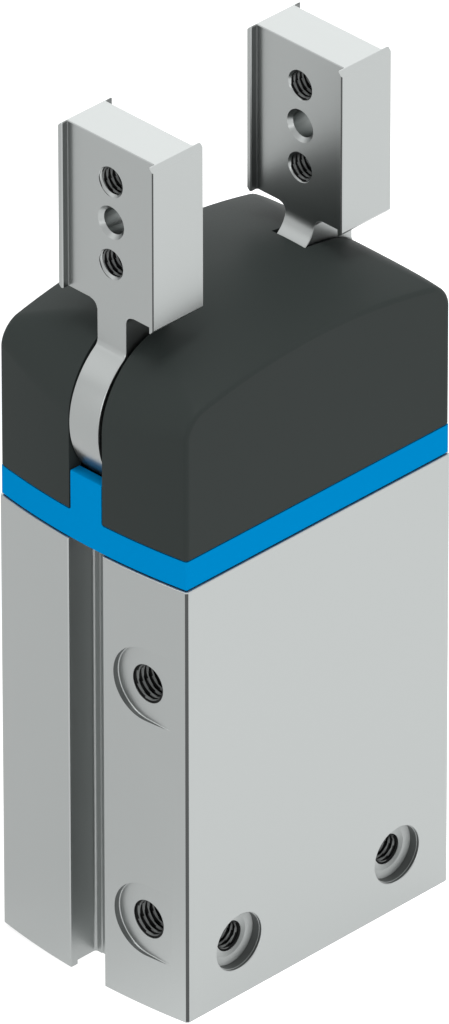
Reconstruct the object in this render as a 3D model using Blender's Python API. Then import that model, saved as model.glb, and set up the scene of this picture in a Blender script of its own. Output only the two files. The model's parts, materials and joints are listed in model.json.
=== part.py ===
"""Double-acting radial pneumatic gripper with two jaws that swing open by 90 degrees each.

World frame: +Z up along the gripper, origin at the bottom centre of the housing. The jaws open along X, and Y
is the short way across the body. Lengths below are in millimetres and are turned into metres when a mesh is
stored. The jaws are modelled closed. A piston lifts a slotted crosshead, whose slots turn the jaws by their
drive pins.
"""

import math

import bmesh
import bpy
from mathutils import Matrix, Vector

MM = 0.001
GAP = 0.3

# Body plan: flat wide faces across Y, slightly arched narrow faces across X
BODY_HALF_X = 22.0
BODY_HALF_Y = 15.6
BODY_CROWN_X = 23.3
BODY_HEIGHT = 60.2
BODY_EDGE = 0.3
END_ARC_RADIUS = (BODY_HALF_Y**2 + (BODY_CROWN_X - BODY_HALF_X) ** 2) / (2 * (BODY_CROWN_X - BODY_HALF_X))

# Cylinder inside the housing
BORE_RADIUS = 12.5
BORE_BOTTOM = 9.0
BORE_TOP = 47.6
CAP_SEAT_RADIUS = 13.5
SNAP_GROOVE_RADIUS = 14.3
SNAP_GROOVE_LOW = 0.6
SNAP_GROOVE_HIGH = 1.7
ROD_RADIUS = 4.0
ROD_CLEARANCE = 0.12
ROD_SEAL_RADIUS = 6.9
BUFFER_RADIUS = 7.8
BUSH_SEAT_RADIUS = 6.0
BUSH_SEAT_TOP = 52.7
SEAL_SEAT_LOW = 53.0
TOP_POCKET_RADIUS = 7.2

# Air ports, sensor slots and mounting holes
PORT_Y = -9.5
PORT_HEIGHTS = (12.2, 45.15)
PORT_RADIUS = 2.5
PORT_THREAD_END = 13.0
PORT_DRILL_RADIUS = 1.6
PORT_DRILL_END = 5.5
PORT_FACE_X = 22.3
PORT_POCKET_RADIUS = 4.95
SLOT_MOUTH_HALF = 2.85
SLOT_UNDERCUT_HALF = 3.45
SLOT_LIP = 1.3
SLOT_FLOOR_X = 18.4
MOUNT_X = 13.3
MOUNT_Z = 7.65
MOUNT_SINK_RADIUS = 3.75
MOUNT_SINK_EDGE = 0.08
MOUNT_SINK_DEPTH = 1.8
MOUNT_THREAD_RADIUS = 2.0
MOUNT_THREAD_END = 6.8

# Spacer ring and cover
RING_LOW = 60.4
RING_HIGH = 64.1
RING_INSET = 0.2
RING_TONGUE_HALF = 2.55
RING_TONGUE_TOP = 69.6
RING_OPENING_HALF_Y = 13.1
COVER_RIM = 64.3
COVER_INSET = 0.15
COVER_TOP = 88.6
COVER_WALL = 2.0
COVER_CROWN_RADIUS_X = 82.5
COVER_CROWN_RADIUS_Y = 48.1
COVER_EDGE = 0.5
COVER_END_FILLET_CORNER = 2.6
COVER_END_FILLET_MIDDLE = 7.5
COVER_SLOT_HALF = 2.75
COVER_SLOT_START = 10.4

# Jaws, with sizes measured outward from the middle plane
PIVOT_X = 12.35
PIVOT_Z = 76.3
DISC_RADIUS = 11.0
DISC_HALF = 2.4
DISC_RELIEF = 0.35
NECK_OUTER = 18.66
NECK_INNER = 12.37
NECK_FILLET = 3.6
NECK_OUTER_FILLET = 1.2
JAW_LOW = 90.9
JAW_HIGH = 113.3
JAW_HALF_Y = 7.83
JAW_PLATE = 0.75
JAW_PLATE_OUTER = 19.62
JAW_PLATE_INNER = 11.33
JAW_CORNER = 1.1
JAW_THREAD_HEIGHTS = (96.85, 107.95)
JAW_THREAD_RADIUS = 2.0
JAW_DOWEL_HEIGHT = 102.5
JAW_DOWEL_RADIUS = 1.65

# Jaw drive: pins on the discs, slots in the crosshead
PIVOT_PIN_RADIUS = 2.4
PIVOT_PIN_HEAD_RADIUS = 3.4
PIVOT_PIN_GROOVE_RADIUS = 1.9
JAW_BUSH_OUTER = 3.5
DRIVE_RADIUS = 7.0
DRIVE_PIN_RADIUS = 1.75
DRIVE_PIN_HALF = 5.5
DRIVE_OFFSET = DRIVE_RADIUS * math.sqrt(0.5)
DRIVE_REST_Z = PIVOT_Z - DRIVE_OFFSET
STROKE = 2 * DRIVE_OFFSET
DRIVE_SLACK = 0.35
CHEEK_INNER = 2.9
CHEEK_OUTER = 5.6
ARM_BELOW = 2.6
ARM_ABOVE = 2.1
CROSSHEAD_HALF_X = 3.9
CROSSHEAD_LOW = 56.4
CROSSHEAD_BASE_TOP = 59.2

# Bearing block that carries the pivot pins
BLOCK_LOW = 60.5
BLOCK_BASE_TOP = 64.4
BLOCK_HALF_X = 18.4
BLOCK_HALF_Y = 12.8
TOWER_INNER = 6.1
TOWER_OUTER = 9.6
TOWER_RADIUS = 4.7
BOSS_RADIUS = 4.0
SCREW_X = 4.6
SCREW_Y = 9.8
SCREW_RADIUS = 1.5
SCREW_HEAD_RADIUS = 2.75
SCREW_HEX_RADIUS = 1.44
SCREW_TIP = 53.4

# Piston
PISTON_LOW = 10.8
PISTON_BODY_LOW = 15.0
PISTON_BODY_HIGH = 31.6
PISTON_HIGH = 35.8
PISTON_RADIUS = 12.1
PISTON_NECK_RADIUS = 8.0
PISTON_RING_RADIUS = 12.3
ROD_STUD_RADIUS = 3.0
ROD_TIP_RADIUS = 2.4
NUT_RADIUS = 5.2
NUT_POCKET_RADIUS = 6.6
GROOVE_FLOOR = 10.0
LOWER_SEAL = (16.0, 18.6)
MAGNET_GROOVE = (19.8, 23.4)
WEAR_GROOVE = (24.6, 27.2)
UPPER_SEAL = (28.2, 30.8)

ROUND_STEPS = 32
HOLE_STEPS = 16
TUBE_STEPS = 20
SIDES = (("left", -1), ("right", 1))


# ---------------------------------------------------------------- materials


def metal(name, colour, roughness):
    return surface(name, colour, roughness, 1.0)


def plastic(name, colour, roughness):
    return surface(name, colour, roughness, 0.0)


def surface(name, colour, roughness, metallic):
    material = bpy.data.materials.new(name)
    material.use_nodes = True
    shader = material.node_tree.nodes["Principled BSDF"]
    shader.inputs["Base Color"].default_value = (*colour, 1.0)
    shader.inputs["Roughness"].default_value = roughness
    shader.inputs["Metallic"].default_value = metallic
    material.diffuse_color = (*colour, 1.0)
    return material


def anodised_aluminium(name):
    return metal(name, (0.62, 0.64, 0.64), 0.42)


def machined_jaw_metal(name):
    return metal(name, (0.72, 0.73, 0.72), 0.34)


def mill_aluminium(name):
    return metal(name, (0.70, 0.70, 0.71), 0.38)


def black_plastic(name):
    return plastic(name, (0.045, 0.047, 0.047), 0.45)


def blue_plastic(name):
    return plastic(name, (0.0, 0.24, 0.66), 0.40)


def hardened_steel(name):
    return metal(name, (0.50, 0.50, 0.51), 0.28)


def spring_steel(name):
    return metal(name, (0.22, 0.22, 0.23), 0.40)


def bronze(name):
    return metal(name, (0.62, 0.42, 0.22), 0.38)


def nitrile_rubber(name):
    return plastic(name, (0.020, 0.020, 0.022), 0.70)


def bearing_polymer(name):
    return plastic(name, (0.16, 0.15, 0.14), 0.55)


def magnet_ferrite(name):
    return plastic(name, (0.10, 0.10, 0.11), 0.50)


# ---------------------------------------------------------------- mesh tools


def on_axis(axis, across, up, along):
    """A point from its place in the plane across an axis and its place along that axis."""
    return {"X": (along, across, up), "Y": (across, along, up), "Z": (across, up, along)}[axis]


def arc(centre, radius, start, end, steps):
    """Points on an arc, with its angles in degrees."""
    angles = [math.radians(start + (end - start) * step / steps) for step in range(steps + 1)]
    return [(centre[0] + radius * math.cos(angle), centre[1] + radius * math.sin(angle)) for angle in angles]


def loft(bm, rings):
    """Adds a closed solid through rings of equal length, each a list of 3-D points."""
    rows = [[bm.verts.new(point) for point in ring] for ring in rings]
    for lower, upper in zip(rows, rows[1:]):
        for index, vert in enumerate(lower):
            after = (index + 1) % len(lower)
            bm.faces.new((vert, lower[after], upper[after], upper[index]))
    bm.faces.new(rows[0][::-1])
    bm.faces.new(rows[-1])
    return bm


def prism(outline, low, high, axis, bm=None):
    """A straight solid of an outline across the named axis."""
    rings = [[on_axis(axis, *point, along) for point in outline] for along in (low, high)]
    return loft(bm or bmesh.new(), rings)


def box(low, high, bm=None):
    outline = ((low[0], low[1]), (high[0], low[1]), (high[0], high[1]), (low[0], high[1]))
    return prism(outline, low[2], high[2], "Z", bm)


AXIS_TURNS = {
    "X": Matrix.Rotation(math.pi / 2, 4, "Y"),
    "Y": Matrix.Rotation(-math.pi / 2, 4, "X"),
    "Z": Matrix.Identity(4),
}


def turned(profile, steps, axis="Z", centre=(0, 0, 0), bm=None):
    """Spins a closed profile of (radius, distance along the axis) points about an axis through centre."""
    whole = bm or bmesh.new()
    lathe = bmesh.new()
    verts = [lathe.verts.new((radius, 0, along)) for radius, along in profile]
    edges = [lathe.edges.new((verts[index - 1], vert)) for index, vert in enumerate(verts)]
    bmesh.ops.spin(
        lathe, geom=verts + edges, cent=(0, 0, 0), axis=(0, 0, 1), angle=math.tau, steps=steps, use_merge=True
    )
    bmesh.ops.remove_doubles(lathe, verts=lathe.verts, dist=1e-5)
    bmesh.ops.delete(lathe, geom=[edge for edge in lathe.edges if not edge.link_faces], context="EDGES")
    place = Matrix.Translation(Vector(centre)) @ AXIS_TURNS[axis]
    bmesh.ops.transform(lathe, matrix=place, verts=lathe.verts)
    add_mesh(whole, lathe)
    return whole


def add_mesh(bm, other):
    scratch = bpy.data.meshes.new("scratch")
    other.to_mesh(scratch)
    other.free()
    bm.from_mesh(scratch)
    bpy.data.meshes.remove(scratch)


def rod_shape(radius, low, high, steps, axis="Z", centre=(0, 0, 0), bm=None):
    return turned(((0, low), (radius, low), (radius, high), (0, high)), steps, axis, centre, bm)


def tube_shape(inner, outer, low, high, steps, axis="Z", centre=(0, 0, 0)):
    return turned(((inner, low), (outer, low), (outer, high), (inner, high)), steps, axis, centre)


def torus_profile(radius, section, height, steps):
    return arc((radius, height), section, 0, 360 - 360 / steps, steps - 1)


def store(name, bm, material=None):
    """Turns a mesh in millimetres into an object in metres with its faces pointing out."""
    bmesh.ops.scale(bm, vec=(MM, MM, MM), verts=bm.verts)
    bmesh.ops.recalc_face_normals(bm, faces=bm.faces)
    mesh = bpy.data.meshes.new(name)
    bm.to_mesh(mesh)
    bm.free()
    mesh.shade_smooth()
    mesh.set_sharp_from_angle(angle=math.radians(30))
    obj = bpy.data.objects.new(name, mesh)
    bpy.context.scene.collection.objects.link(obj)
    if material:
        mesh.materials.append(material)
    return obj


def combine(obj, bm, label, operation):
    helper = store(f"{obj.name}.{label}", bm)
    helper.hide_render = True
    helper.display_type = "WIRE"
    modifier = obj.modifiers.new(label, "BOOLEAN")
    modifier.operation = operation
    modifier.solver = "EXACT"
    modifier.object = helper


def cut(obj, bm, label):
    combine(obj, bm, label, "DIFFERENCE")


def fuse(obj, bm, label):
    combine(obj, bm, label, "UNION")


def body_outline(inset, steps=8):
    """The plan of the body, moved inwards by inset, with its four upright edges broken."""
    half_x = BODY_HALF_X - inset - BODY_EDGE
    half_y = BODY_HALF_Y - inset
    radius = END_ARC_RADIUS - inset
    middle = BODY_CROWN_X - END_ARC_RADIUS
    reach = math.degrees(math.asin((half_y - BODY_EDGE) / radius))
    right = arc((middle, 0), radius, -reach, reach, steps)
    left = arc((-middle, 0), radius, 180 - reach, 180 + reach, steps)
    return [(half_x, -half_y), *right, (half_x, half_y), (-half_x, half_y), *left, (-half_x, -half_y)]


def at_level(outline, height):
    return [(x, y, height) for x, y in outline]


# ---------------------------------------------------------------- housing and cylinder


def make_housing():
    low = body_outline(BODY_EDGE)
    side = body_outline(0)
    levels = ((low, 0), (side, BODY_EDGE), (side, BODY_HEIGHT - BODY_EDGE), (low, BODY_HEIGHT))
    bm = loft(bmesh.new(), [at_level(outline, height) for outline, height in levels])
    housing = store("housing", bm, anodised_aluminium("housing_anodised"))
    cut(housing, cylinder_void(), "cylinder")
    cut(housing, sensor_slots(), "sensor_slots")
    cut(housing, port_pockets(), "port_pockets")
    cut(housing, port_holes(), "port_holes")
    cut(housing, mounting_holes(), "mounting_holes")
    cut(housing, block_screw_holes(SCREW_TIP - 1, BODY_HEIGHT + 1), "screw_threads")
    return housing


def cylinder_void():
    """End cap seat, snap ring groove, piston bore, rod bush seat and the pocket below the crosshead."""
    profile = (
        (0, -1),
        (CAP_SEAT_RADIUS, -1),
        (CAP_SEAT_RADIUS, SNAP_GROOVE_LOW),
        (SNAP_GROOVE_RADIUS, SNAP_GROOVE_LOW),
        (SNAP_GROOVE_RADIUS, SNAP_GROOVE_HIGH),
        (CAP_SEAT_RADIUS, SNAP_GROOVE_HIGH),
        (CAP_SEAT_RADIUS, BORE_BOTTOM),
        (BORE_RADIUS, BORE_BOTTOM),
        (BORE_RADIUS, BORE_TOP),
        (BUSH_SEAT_RADIUS, BORE_TOP),
        (BUSH_SEAT_RADIUS, BUSH_SEAT_TOP),
        (ROD_RADIUS + GAP, BUSH_SEAT_TOP),
        (ROD_RADIUS + GAP, SEAL_SEAT_LOW),
        (TOP_POCKET_RADIUS, SEAL_SEAT_LOW),
        (TOP_POCKET_RADIUS, BODY_HEIGHT + 1),
        (0, BODY_HEIGHT + 1),
    )
    return turned(profile, ROUND_STEPS)


def sensor_slots():
    """T-shaped grooves that run the whole height of both narrow faces."""
    bm = bmesh.new()
    outside = BODY_CROWN_X + 1
    shoulder = BODY_CROWN_X - SLOT_LIP
    for _, side in SIDES:
        half = (
            (side * outside, SLOT_MOUTH_HALF),
            (side * shoulder, SLOT_MOUTH_HALF),
            (side * shoulder, SLOT_UNDERCUT_HALF),
            (side * SLOT_FLOOR_X, SLOT_UNDERCUT_HALF),
        )
        outline = [*half, *((x, -y) for x, y in reversed(half))]
        prism(outline, -1, BODY_HEIGHT + 1, "Z", bm)
    return bm


def port_pockets():
    """Flat seats round the ports, open towards the front edge of the arched face."""
    bm = bmesh.new()
    for height in PORT_HEIGHTS:
        bend = arc((PORT_Y, height), PORT_POCKET_RADIUS, -90, 90, 10)
        edge = -BODY_HALF_Y - 1
        outline = [(edge, height - PORT_POCKET_RADIUS), *bend, (edge, height + PORT_POCKET_RADIUS)]
        prism(outline, -BODY_CROWN_X - 1, -PORT_FACE_X, "X", bm)
    return bm


def port_holes():
    """Threaded stretch, then a narrower drilling that breaks into the end of the bore."""
    bm = bmesh.new()
    profile = (
        (0, -BODY_CROWN_X - 1),
        (PORT_RADIUS + GAP, -BODY_CROWN_X - 1),
        (PORT_RADIUS + GAP, -PORT_FACE_X),
        (PORT_RADIUS, -PORT_FACE_X + GAP),
        (PORT_RADIUS, -PORT_THREAD_END),
        (PORT_DRILL_RADIUS, -PORT_THREAD_END),
        (PORT_DRILL_RADIUS, -PORT_DRILL_END),
        (0, -PORT_DRILL_END),
    )
    for height in PORT_HEIGHTS:
        turned(profile, HOLE_STEPS, "X", (0, PORT_Y, height), bm)
    return bm


def mounting_holes():
    """Threads with a centring counterbore, two on each wide face."""
    bm = bmesh.new()
    face = BODY_HALF_Y
    rim = MOUNT_SINK_RADIUS + MOUNT_SINK_EDGE
    steps = (
        (0, face + 1),
        (rim, face + 1),
        (rim, face),
        (MOUNT_SINK_RADIUS, face - MOUNT_SINK_EDGE),
        (MOUNT_SINK_RADIUS, face - MOUNT_SINK_DEPTH),
        (MOUNT_THREAD_RADIUS, face - MOUNT_SINK_DEPTH),
        (MOUNT_THREAD_RADIUS, face - MOUNT_THREAD_END),
        (0, face - MOUNT_THREAD_END - 0.8),
    )
    for across in (-MOUNT_X, MOUNT_X):
        for side in (-1, 1):
            profile = [(radius, side * depth) for radius, depth in steps]
            turned(profile, HOLE_STEPS, "Y", (across, 0, MOUNT_Z), bm)
    return bm


def block_screw_places():
    return [(x, y) for x in (-SCREW_X, SCREW_X) for y in (-SCREW_Y, SCREW_Y)]


def block_screw_holes(low, high):
    bm = bmesh.new()
    for x, y in block_screw_places():
        rod_shape(SCREW_RADIUS + GAP, low, high, 12, "Z", (x, y, 0), bm)
    return bm


def make_end_cap():
    """A round plate with a shallow recess below and a groove with an O-ring round its rim."""
    radius = CAP_SEAT_RADIUS - GAP
    low = 2.0
    recess_radius = 6.0
    recess = 3.1
    groove_radius = 11.6
    groove = (4.6, 6.9)
    profile = (
        (0, recess),
        (recess_radius, recess),
        (recess_radius, low),
        (radius, low),
        (radius, groove[0]),
        (groove_radius, groove[0]),
        (groove_radius, groove[1]),
        (radius, groove[1]),
        (radius, BORE_BOTTOM - GAP),
        (0, BORE_BOTTOM - GAP),
    )
    store("end_cap", turned(profile, ROUND_STEPS), mill_aluminium("end_cap_aluminium"))
    section = 0.67
    ring_radius = groove_radius + GAP + section + 0.01
    ring = turned(torus_profile(ring_radius, section, sum(groove) / 2, 6), ROUND_STEPS)
    store("end_cap_o_ring", ring, nitrile_rubber("end_cap_o_ring_rubber"))


def snap_ring(name, radii, span, axis, centre, steps):
    """A C-shaped ring whose two ends widen inwards into lugs with a plier hole each.

    radii are the ring's inner and outer radius and the lugs' inner one, and span its extent along the axis.
    """
    inner, outer, lug_inner = radii
    low, high = span
    mouth = 25
    lug = 35
    taper = 3
    hole_angle = 29
    outline = [
        *arc((0, 0), outer, mouth, 360 - mouth, steps),
        *arc((0, 0), lug_inner, 360 - mouth, 360 - lug + taper, 2),
        *arc((0, 0), inner, 360 - lug, lug, steps),
        *arc((0, 0), lug_inner, lug - taper, mouth, 2),
    ]
    shifted = [(x + centre[0], y + centre[1]) for x, y in outline]
    ring = store(name, prism(shifted, low, high, axis), spring_steel(f"{name}_steel"))
    holes = bmesh.new()
    middle = (lug_inner + outer) / 2
    for angle in (hole_angle, -hole_angle):
        point = arc(centre, middle, angle, angle, 1)[0]
        place = on_axis(axis, *point, 0)
        rod_shape((outer - lug_inner) / 5, low - 1, high + 1, 8, axis, place, holes)
    cut(ring, holes, "plier_holes")


def make_buffers():
    """Rubber rings at both ends of the bore that stop the piston softly."""
    lower = tube_shape(ROD_RADIUS - 0.4, BUFFER_RADIUS, BORE_BOTTOM, PISTON_LOW - GAP, TUBE_STEPS)
    store("lower_buffer", lower, nitrile_rubber("lower_buffer_rubber"))
    low = PISTON_HIGH + STROKE + GAP
    upper = tube_shape(ROD_RADIUS + 0.6, BUFFER_RADIUS, low, BORE_TOP - GAP, TUBE_STEPS)
    store("upper_buffer", upper, nitrile_rubber("upper_buffer_rubber"))


def make_rod_guide():
    """Bronze bush, lip seal and washer round the rod in the top of the housing."""
    inner = ROD_RADIUS + ROD_CLEARANCE
    outer = ROD_SEAL_RADIUS
    bush = tube_shape(inner, BUSH_SEAT_RADIUS - 0.25, BORE_TOP + 0.4, BUSH_SEAT_TOP - GAP, TUBE_STEPS)
    store("rod_guide_bush", bush, bronze("rod_guide_bronze"))
    low = SEAL_SEAT_LOW + 0.2
    groove = low + 0.9
    high = low + 2.0
    profile = (
        (inner, low),
        (outer, low),
        (outer, high),
        (outer - 1.0, high),
        (outer - 1.4, groove),
        (outer - 2.0, groove),
        (outer - 2.3, high),
        (inner, high),
    )
    store("rod_seal", turned(profile, TUBE_STEPS), nitrile_rubber("rod_seal_rubber"))
    washer = tube_shape(ROD_RADIUS + 0.5, outer, high + GAP, high + 0.9, TUBE_STEPS)
    store("rod_seal_washer", washer, hardened_steel("rod_seal_washer_steel"))


# ---------------------------------------------------------------- spacer ring, cover and bearing block


def make_spacer_ring():
    """A thin frame between housing and cover, with an upright tongue at the foot of each jaw slot."""
    outline = body_outline(RING_INSET)
    ring = store("spacer_ring", prism(outline, RING_LOW, RING_TONGUE_TOP, "Z"), blue_plastic("ring_blue"))
    far = BODY_CROWN_X + 1
    above = RING_TONGUE_TOP + 1
    half_x = BLOCK_HALF_X + 0.5
    half_y = RING_OPENING_HALF_Y
    cut(ring, box((-half_x, -half_y, RING_LOW - 1), (half_x, half_y, above)), "opening")
    sides = box((-far, RING_TONGUE_HALF, RING_HIGH), (far, far, above))
    box((-far, -far, RING_HIGH), (far, -RING_TONGUE_HALF, above), sides)
    cut(ring, sides, "beside_tongues")
    cut(ring, disc_clearance(RING_TONGUE_HALF + 1), "disc_clearance")


def disc_clearance(half_width):
    """Round spaces in which the jaw discs turn."""
    bm = bmesh.new()
    for _, side in SIDES:
        centre = (side * PIVOT_X, 0, PIVOT_Z)
        rod_shape(DISC_RADIUS + DISC_RELIEF, -half_width, half_width, 48, "Y", centre, bm)
    return bm


def cover_end_fillet(across):
    """Radius of the shoulder at the ends: large over the jaws, smaller towards the wide faces."""
    share = max(0.0, 1 - (across / BODY_HALF_Y) ** 2)
    spread = COVER_END_FILLET_MIDDLE - COVER_END_FILLET_CORNER
    return COVER_END_FILLET_CORNER + spread * share**0.75


def cover_row(across, inset, drop, corner_drop, end_steps, middle_steps):
    """One row of the crowned top at a given Y, from the left end to the right end."""
    end = BODY_CROWN_X - inset - across**2 / (2 * END_ARC_RADIUS) - corner_drop
    fillet = max(1.0, cover_end_fillet(across) - max(0.0, inset - COVER_INSET))
    half = []
    for step in range(end_steps + 1):
        angle = math.pi / 2 * step / end_steps
        half.append((end - fillet * (1 - math.cos(angle)), fillet * (1 - math.sin(angle))))
    for step in range(1, middle_steps + 1):
        half.append(((end - fillet) * (1 - step / middle_steps), 0.0))
    row = [(-x, fall) for x, fall in half] + [(x, fall) for x, fall in reversed(half[:-1])]
    crown = COVER_TOP - drop - across**2 / (2 * COVER_CROWN_RADIUS_Y)
    return [(x, across, crown - x**2 / (2 * COVER_CROWN_RADIUS_X) - fall) for x, fall in row]


def crowned_block(inset, drop, bottom, rows, end_steps, middle_steps):
    """A solid with the plan of the body, a crowned top and rounded shoulders."""
    half_y = BODY_HALF_Y - inset
    edge_rows = [(half_y - COVER_EDGE * (1 - math.cos(turn)), COVER_EDGE * (1 - math.sin(turn)))
                 for turn in (0, math.pi / 6, math.pi / 3)]
    flat = half_y - COVER_EDGE
    middle = [(flat * (1 - 2 * step / rows), 0.0) for step in range(rows + 1)]
    places = edge_rows + middle + [(-across, fall) for across, fall in reversed(edge_rows)]
    bm = bmesh.new()
    grid = []
    for across, fall in places:
        row = cover_row(across, inset, drop, fall, end_steps, middle_steps)
        grid.append([bm.verts.new((x, y, z - fall)) for x, y, z in row])
    for near, far in zip(grid, grid[1:]):
        for index in range(len(near) - 1):
            bm.faces.new((near[index], near[index + 1], far[index + 1], far[index]))
    border = grid[0] + [row[-1] for row in grid[1:-1]] + grid[-1][::-1] + [row[0] for row in grid[-2:0:-1]]
    foot = [bm.verts.new((vert.co.x, vert.co.y, bottom)) for vert in border]
    for index in range(len(border)):
        bm.faces.new((border[index - 1], border[index], foot[index], foot[index - 1]))
    bm.faces.new(foot)
    return bm


def make_cover():
    solid = crowned_block(COVER_INSET, 0, COVER_RIM, 10, 5, 3)
    cover = store("cover", solid, black_plastic("cover_black"))
    cut(cover, crowned_block(COVER_INSET + COVER_WALL, COVER_WALL, COVER_RIM - 1, 6, 4, 2), "hollow")
    slots = bmesh.new()
    for _, side in SIDES:
        ends = sorted((side * COVER_SLOT_START, side * (BODY_CROWN_X + 1)))
        box((ends[0], -COVER_SLOT_HALF, COVER_RIM - 2), (ends[1], COVER_SLOT_HALF, COVER_TOP + 1), slots)
    cut(cover, slots, "jaw_slots")
    cut(cover, disc_clearance(COVER_SLOT_HALF), "disc_clearance")


def make_bearing_block():
    """A plate with two pairs of towers, whose bosses hold the pivot pins on both sides of each disc."""
    base = box((-BLOCK_HALF_X, -BLOCK_HALF_Y, BLOCK_LOW), (BLOCK_HALF_X, BLOCK_HALF_Y, BLOCK_BASE_TOP))
    block = store("bearing_block", base, mill_aluminium("bearing_block_aluminium"))
    towers = bmesh.new()
    bosses = bmesh.new()
    holes = bmesh.new()
    for _, side in SIDES:
        top = arc((side * PIVOT_X, PIVOT_Z), TOWER_RADIUS, 0, 180, 8)
        foot = BLOCK_BASE_TOP - 1.5
        outline = [(side * PIVOT_X + TOWER_RADIUS, foot), *top, (side * PIVOT_X - TOWER_RADIUS, foot)]
        pivot = (side * PIVOT_X, 0, PIVOT_Z)
        for low, high in ((-TOWER_OUTER, -TOWER_INNER), (TOWER_INNER, TOWER_OUTER)):
            prism(outline, low, high, "Y", towers)
        for low, high in ((-TOWER_INNER - 0.5, -CHEEK_INNER), (CHEEK_INNER, TOWER_INNER + 0.5)):
            rod_shape(BOSS_RADIUS, low, high, HOLE_STEPS, "Y", pivot, bosses)
        rod_shape(PIVOT_PIN_RADIUS + GAP, -TOWER_OUTER - 1, TOWER_OUTER + 1, HOLE_STEPS, "Y", pivot, holes)
    half_x = CROSSHEAD_HALF_X + 0.5
    half_y = CHEEK_OUTER + 0.4
    opening = box((-half_x, -half_y, BLOCK_LOW - 1), (half_x, half_y, BLOCK_BASE_TOP + 1))
    cut(block, opening, "crosshead_opening")
    cut(block, block_screw_holes(BLOCK_LOW - 1, BLOCK_BASE_TOP + 1), "screw_holes")
    fuse(block, towers, "towers")
    fuse(block, bosses, "bosses")
    cut(block, holes, "pivot_holes")


def make_block_screws():
    """Four socket head screws that hold the bearing block on the housing."""
    head_low = BLOCK_BASE_TOP + GAP
    head_high = head_low + 2.9
    profile = (
        (0, SCREW_TIP),
        (SCREW_RADIUS, SCREW_TIP),
        (SCREW_RADIUS, head_low),
        (SCREW_HEAD_RADIUS, head_low),
        (SCREW_HEAD_RADIUS, head_high - GAP),
        (SCREW_HEAD_RADIUS - GAP, head_high),
        (0, head_high),
    )
    for number, (x, y) in enumerate(block_screw_places(), start=1):
        name = f"block_screw_{number}"
        screw = store(name, turned(profile, 12, "Z", (x, y, 0)), hardened_steel(f"{name}_steel"))
        hexagon = arc((x, y), SCREW_HEX_RADIUS, 0, 300, 5)
        cut(screw, prism(hexagon, head_low + 1.3, head_high + 1, "Z"), "hex_socket")


# ---------------------------------------------------------------- jaws


def swing_side(points, side):
    return [(side * x, z) for x, z in points]


def jaw_disc_outline():
    """Disc and neck seen along Y, as (distance from the middle plane, height) points."""
    outer, outer_angle = neck_fillet_centre(NECK_OUTER + NECK_OUTER_FILLET, NECK_OUTER_FILLET)
    inner, inner_angle = neck_fillet_centre(NECK_INNER - NECK_FILLET, NECK_FILLET)
    outer_flare = arc(outer, NECK_OUTER_FILLET, 180, outer_angle + 180, 3)
    disc = arc((PIVOT_X, PIVOT_Z), DISC_RADIUS, outer_angle, inner_angle - 360, 40)
    inner_flare = arc(inner, NECK_FILLET, inner_angle - 180, 0, 6)
    top = JAW_LOW + 1
    return [(NECK_OUTER, top), *outer_flare, *disc[1:], *inner_flare[1:], (NECK_INNER, top)]


def neck_fillet_centre(across, fillet):
    """Centre of a fillet between disc and neck, and the angle at which it meets the disc."""
    rise = math.sqrt((DISC_RADIUS + fillet) ** 2 - (across - PIVOT_X) ** 2)
    return (across, PIVOT_Z + rise), math.degrees(math.atan2(rise, across - PIVOT_X))


def jaw_neck_outline():
    """Neck seen along X, spreading with a fillet into the foot of the jaw block, as (y, z) points."""
    centre_y = DISC_HALF + JAW_CORNER
    centre_z = JAW_LOW - JAW_CORNER
    fillet = arc((centre_y, centre_z), JAW_CORNER, 180, 90, 4)
    right = [(DISC_HALF, centre_z - 1), *fillet, (centre_y, JAW_LOW + 1)]
    return [*right, *((-y, z) for y, z in reversed(right))]


def jaw_block_outline(side):
    """Plan of the H-shaped jaw block: a web between two thin plates whose edges stand proud of it."""
    web = JAW_HALF_Y - JAW_PLATE
    half = (
        (NECK_OUTER, web),
        (JAW_PLATE_OUTER, web),
        (JAW_PLATE_OUTER, JAW_HALF_Y),
        (JAW_PLATE_INNER, JAW_HALF_Y),
        (JAW_PLATE_INNER, web),
        (NECK_INNER, web),
    )
    outline = [*half, *((x, -y) for x, y in reversed(half))]
    return [(side * x, y) for x, y in outline]


def jaw_holes(side):
    bm = bmesh.new()
    ends = sorted((side * (NECK_INNER - 2), side * (NECK_OUTER + 2)))
    holes = [(height, JAW_THREAD_RADIUS) for height in JAW_THREAD_HEIGHTS]
    for height, radius in (*holes, (JAW_DOWEL_HEIGHT, JAW_DOWEL_RADIUS)):
        rod_shape(radius, ends[0], ends[1], HOLE_STEPS, "X", (0, 0, height), bm)
    return bm


def drive_pin_place(side):
    return (side * (PIVOT_X - DRIVE_OFFSET), 0, DRIVE_REST_Z)


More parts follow.
